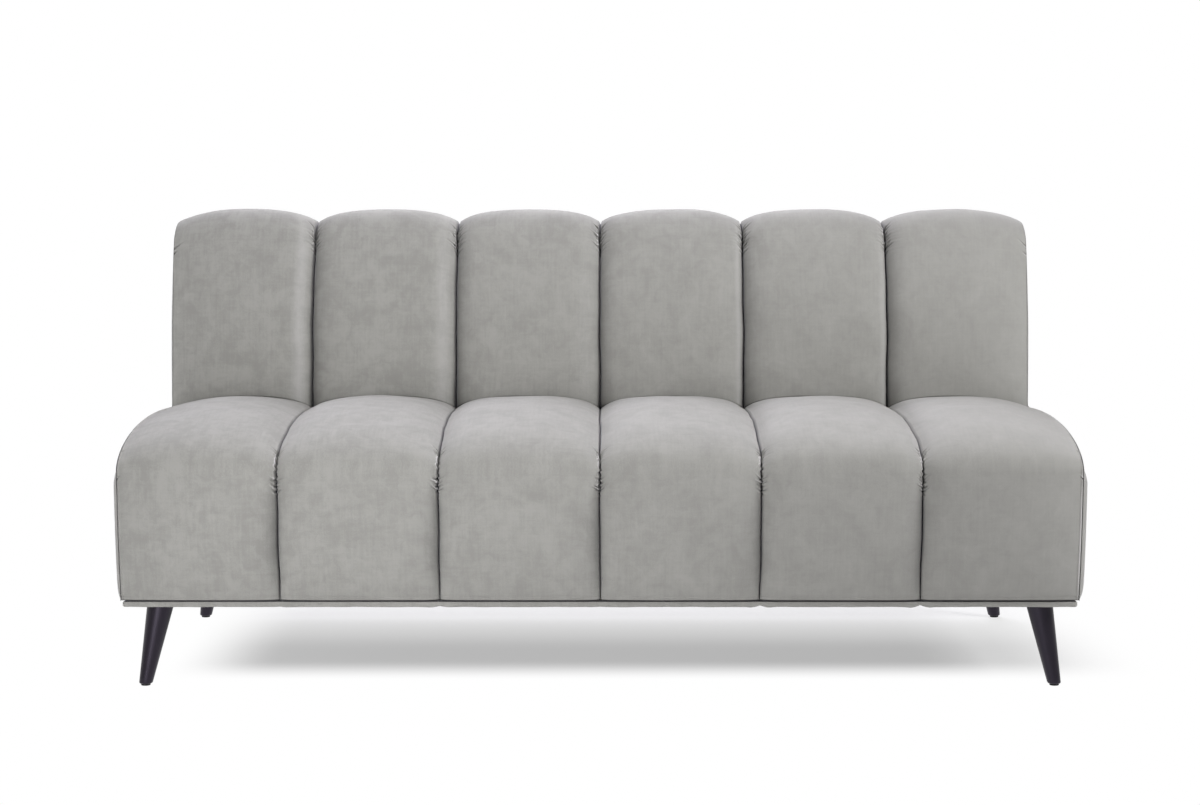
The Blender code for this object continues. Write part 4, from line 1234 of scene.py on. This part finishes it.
# Studio: pale floor that keeps the shadow, soft lamps, white for the camera
studio = {
    "world": 0.08, "white": (1, 1, 1, 1), "floor": "#f4f4f4", "floorGlow": 0.43, "floorHalf": 9.0,
    "fades": (  # axis, from, to, how much of the shadow shows at the start and at the end
        ("Y", -0.28, -0.09, 0.0, 1.0), ("Y", 0.0, 0.25, 1.0, 0.66), ("Y", 0.33, 0.42, 1.0, 1.35),
        ("Y", 0.55, 0.90, 1.0, 0.0), ("X", -0.81, -0.60, 0.0, 1.0), ("X", 0.74, 1.04, 1.0, 0.0),
    ),
    "lamps": (  # name, place, aim, side, spread in degrees, watts, colour
        ("RightSoftbox", (2.4, -1.0, 1.6), (0, 0, 0.45), 0.8, 180, 27.5, "#ffffff"),
        ("FarRightSoftbox", (3.2, -0.6, 2.2), (0, 0, 0.45), 1.2, 180, 13.7, "#ffffff"),
        ("TopSoftbox", (0.0, -0.4, 2.8), (0, 0, 0.45), 2.0, 180, 25.5, "#fefdff"),
        ("RearTopSoftbox", (0.0, 1.8, 2.6), (0, 0, 0.45), 2.0, 180, 70.0, "#f9f7ff"),
        ("LeftSoftbox", (-2.6, 0.3, 1.2), (0, 0, 0.45), 1.5, 180, 17.0, "#ffffff"),
        ("LowLeftSoftbox", (-1.2, -2.6, 0.5), (-0.4, -0.3, 0.35), 0.8, 80, 4.2, "#ffffff"),
        ("LowFrontSoftbox", (-0.5, -2.6, 0.5), (-0.3, -0.2, 0.45), 0.8, 70, 1.7, "#ffffff"),
    ),
    "lens": 74.735, "sensor": 36, "cameraAt": (0, -4.7099, 0.9172), "tilt": 5.332,
}


def seenBy(tree, other):
    # 1 for what the camera sees, straight or by another kind of ray
    ray = addNode(tree, "ShaderNodeLightPath").outputs
    return addNode(tree, "ShaderNodeMath", {
        0: ray["Is Camera Ray"], 1: ray[f"Is {other} Ray"]}, operation="MAXIMUM")


def makeFloor():
    made = bpy.data.materials.new("PaleStudioFloor")
    made.use_nodes = True
    tree = made.node_tree
    tree.nodes.clear()
    place = addNode(tree, "ShaderNodeTexCoord").outputs["Object"]
    axes = addNode(tree, "ShaderNodeSeparateXYZ", {0: place})
    # the real shadow shows under the seat; a painted white glow for the camera, set by position, washes it
    # out in part and turns the floor white round it
    shade = 1 - studio["floorGlow"]
    for axis, start, end, low, high in studio["fades"]:
        fade = addNode(tree, "ShaderNodeMapRange", {
            "Value": axes.outputs[axis], "From Min": start, "From Max": end, "To Min": low, "To Max": high,
        }, interpolation_type="SMOOTHSTEP")
        shade = addNode(tree, "ShaderNodeMath", {0: fade, 1: shade}, operation="MULTIPLY")
    far = addNode(tree, "ShaderNodeMath", {0: 1.0, 1: shade}, operation="SUBTRACT")
    glow = addNode(tree, "ShaderNodeMath", {0: seenBy(tree, "Glossy"), 1: far}, operation="MULTIPLY")
    matt = addNode(tree, "ShaderNodeBsdfDiffuse", {"Color": toLinear(studio["floor"])})
    white = addNode(tree, "ShaderNodeEmission", {"Color": studio["white"], "Strength": 1.0})
    mix = addNode(tree, "ShaderNodeMixShader", {0: glow, 1: matt, 2: white})
    addNode(tree, "ShaderNodeOutputMaterial", {"Surface": mix})
    mesh = bpy.data.meshes.new("StudioFloor")
    half = studio["floorHalf"]
    corners = [(-half, -half, 0), (half, -half, 0), (half, half, 0), (-half, half, 0)]
    mesh.from_pydata(corners, [], [(0, 1, 2, 3)])
    mesh.materials.append(made)
    addObject("StudioFloor", mesh)


def makeWorld():
    world = bpy.data.worlds.new("StudioWorld")
    world.use_nodes = True
    bpy.context.scene.world = world
    tree = world.node_tree
    tree.nodes.clear()
    light, white = [addNode(tree, "ShaderNodeBackground", {"Color": studio["white"], "Strength": strength})
                    for strength in (studio["world"], 1.0)]
    mix = addNode(tree, "ShaderNodeMixShader", {0: seenBy(tree, "Transmission"), 1: light, 2: white})
    addNode(tree, "ShaderNodeOutputWorld", {"Surface": mix})


def addLamp(name, place, aim, side, spread, watts, colour):
    data = bpy.data.lights.new(name, "AREA")
    data.shape = "SQUARE"
    data.size = side
    data.spread = math.radians(spread)
    data.energy = watts
    data.color = toLinear(colour)[:3]
    lamp = addObject(name, data)
    lamp.location = place
    lamp.rotation_euler = (Vector(place) - Vector(aim)).to_track_quat("Z", "Y").to_euler()


makeFloor()
makeWorld()
for lamp in studio["lamps"]:
    addLamp(*lamp)

camera = addObject("Camera", bpy.data.cameras.new("Camera"))
camera.data.lens = studio["lens"]
camera.data.sensor_width = studio["sensor"]
camera.location = studio["cameraAt"]
camera.rotation_euler = (math.radians(90 - studio["tilt"]), 0, 0)
bpy.context.scene.camera = camera
bpy.context.scene.view_settings.view_transform = "Standard"
print("studio ready")
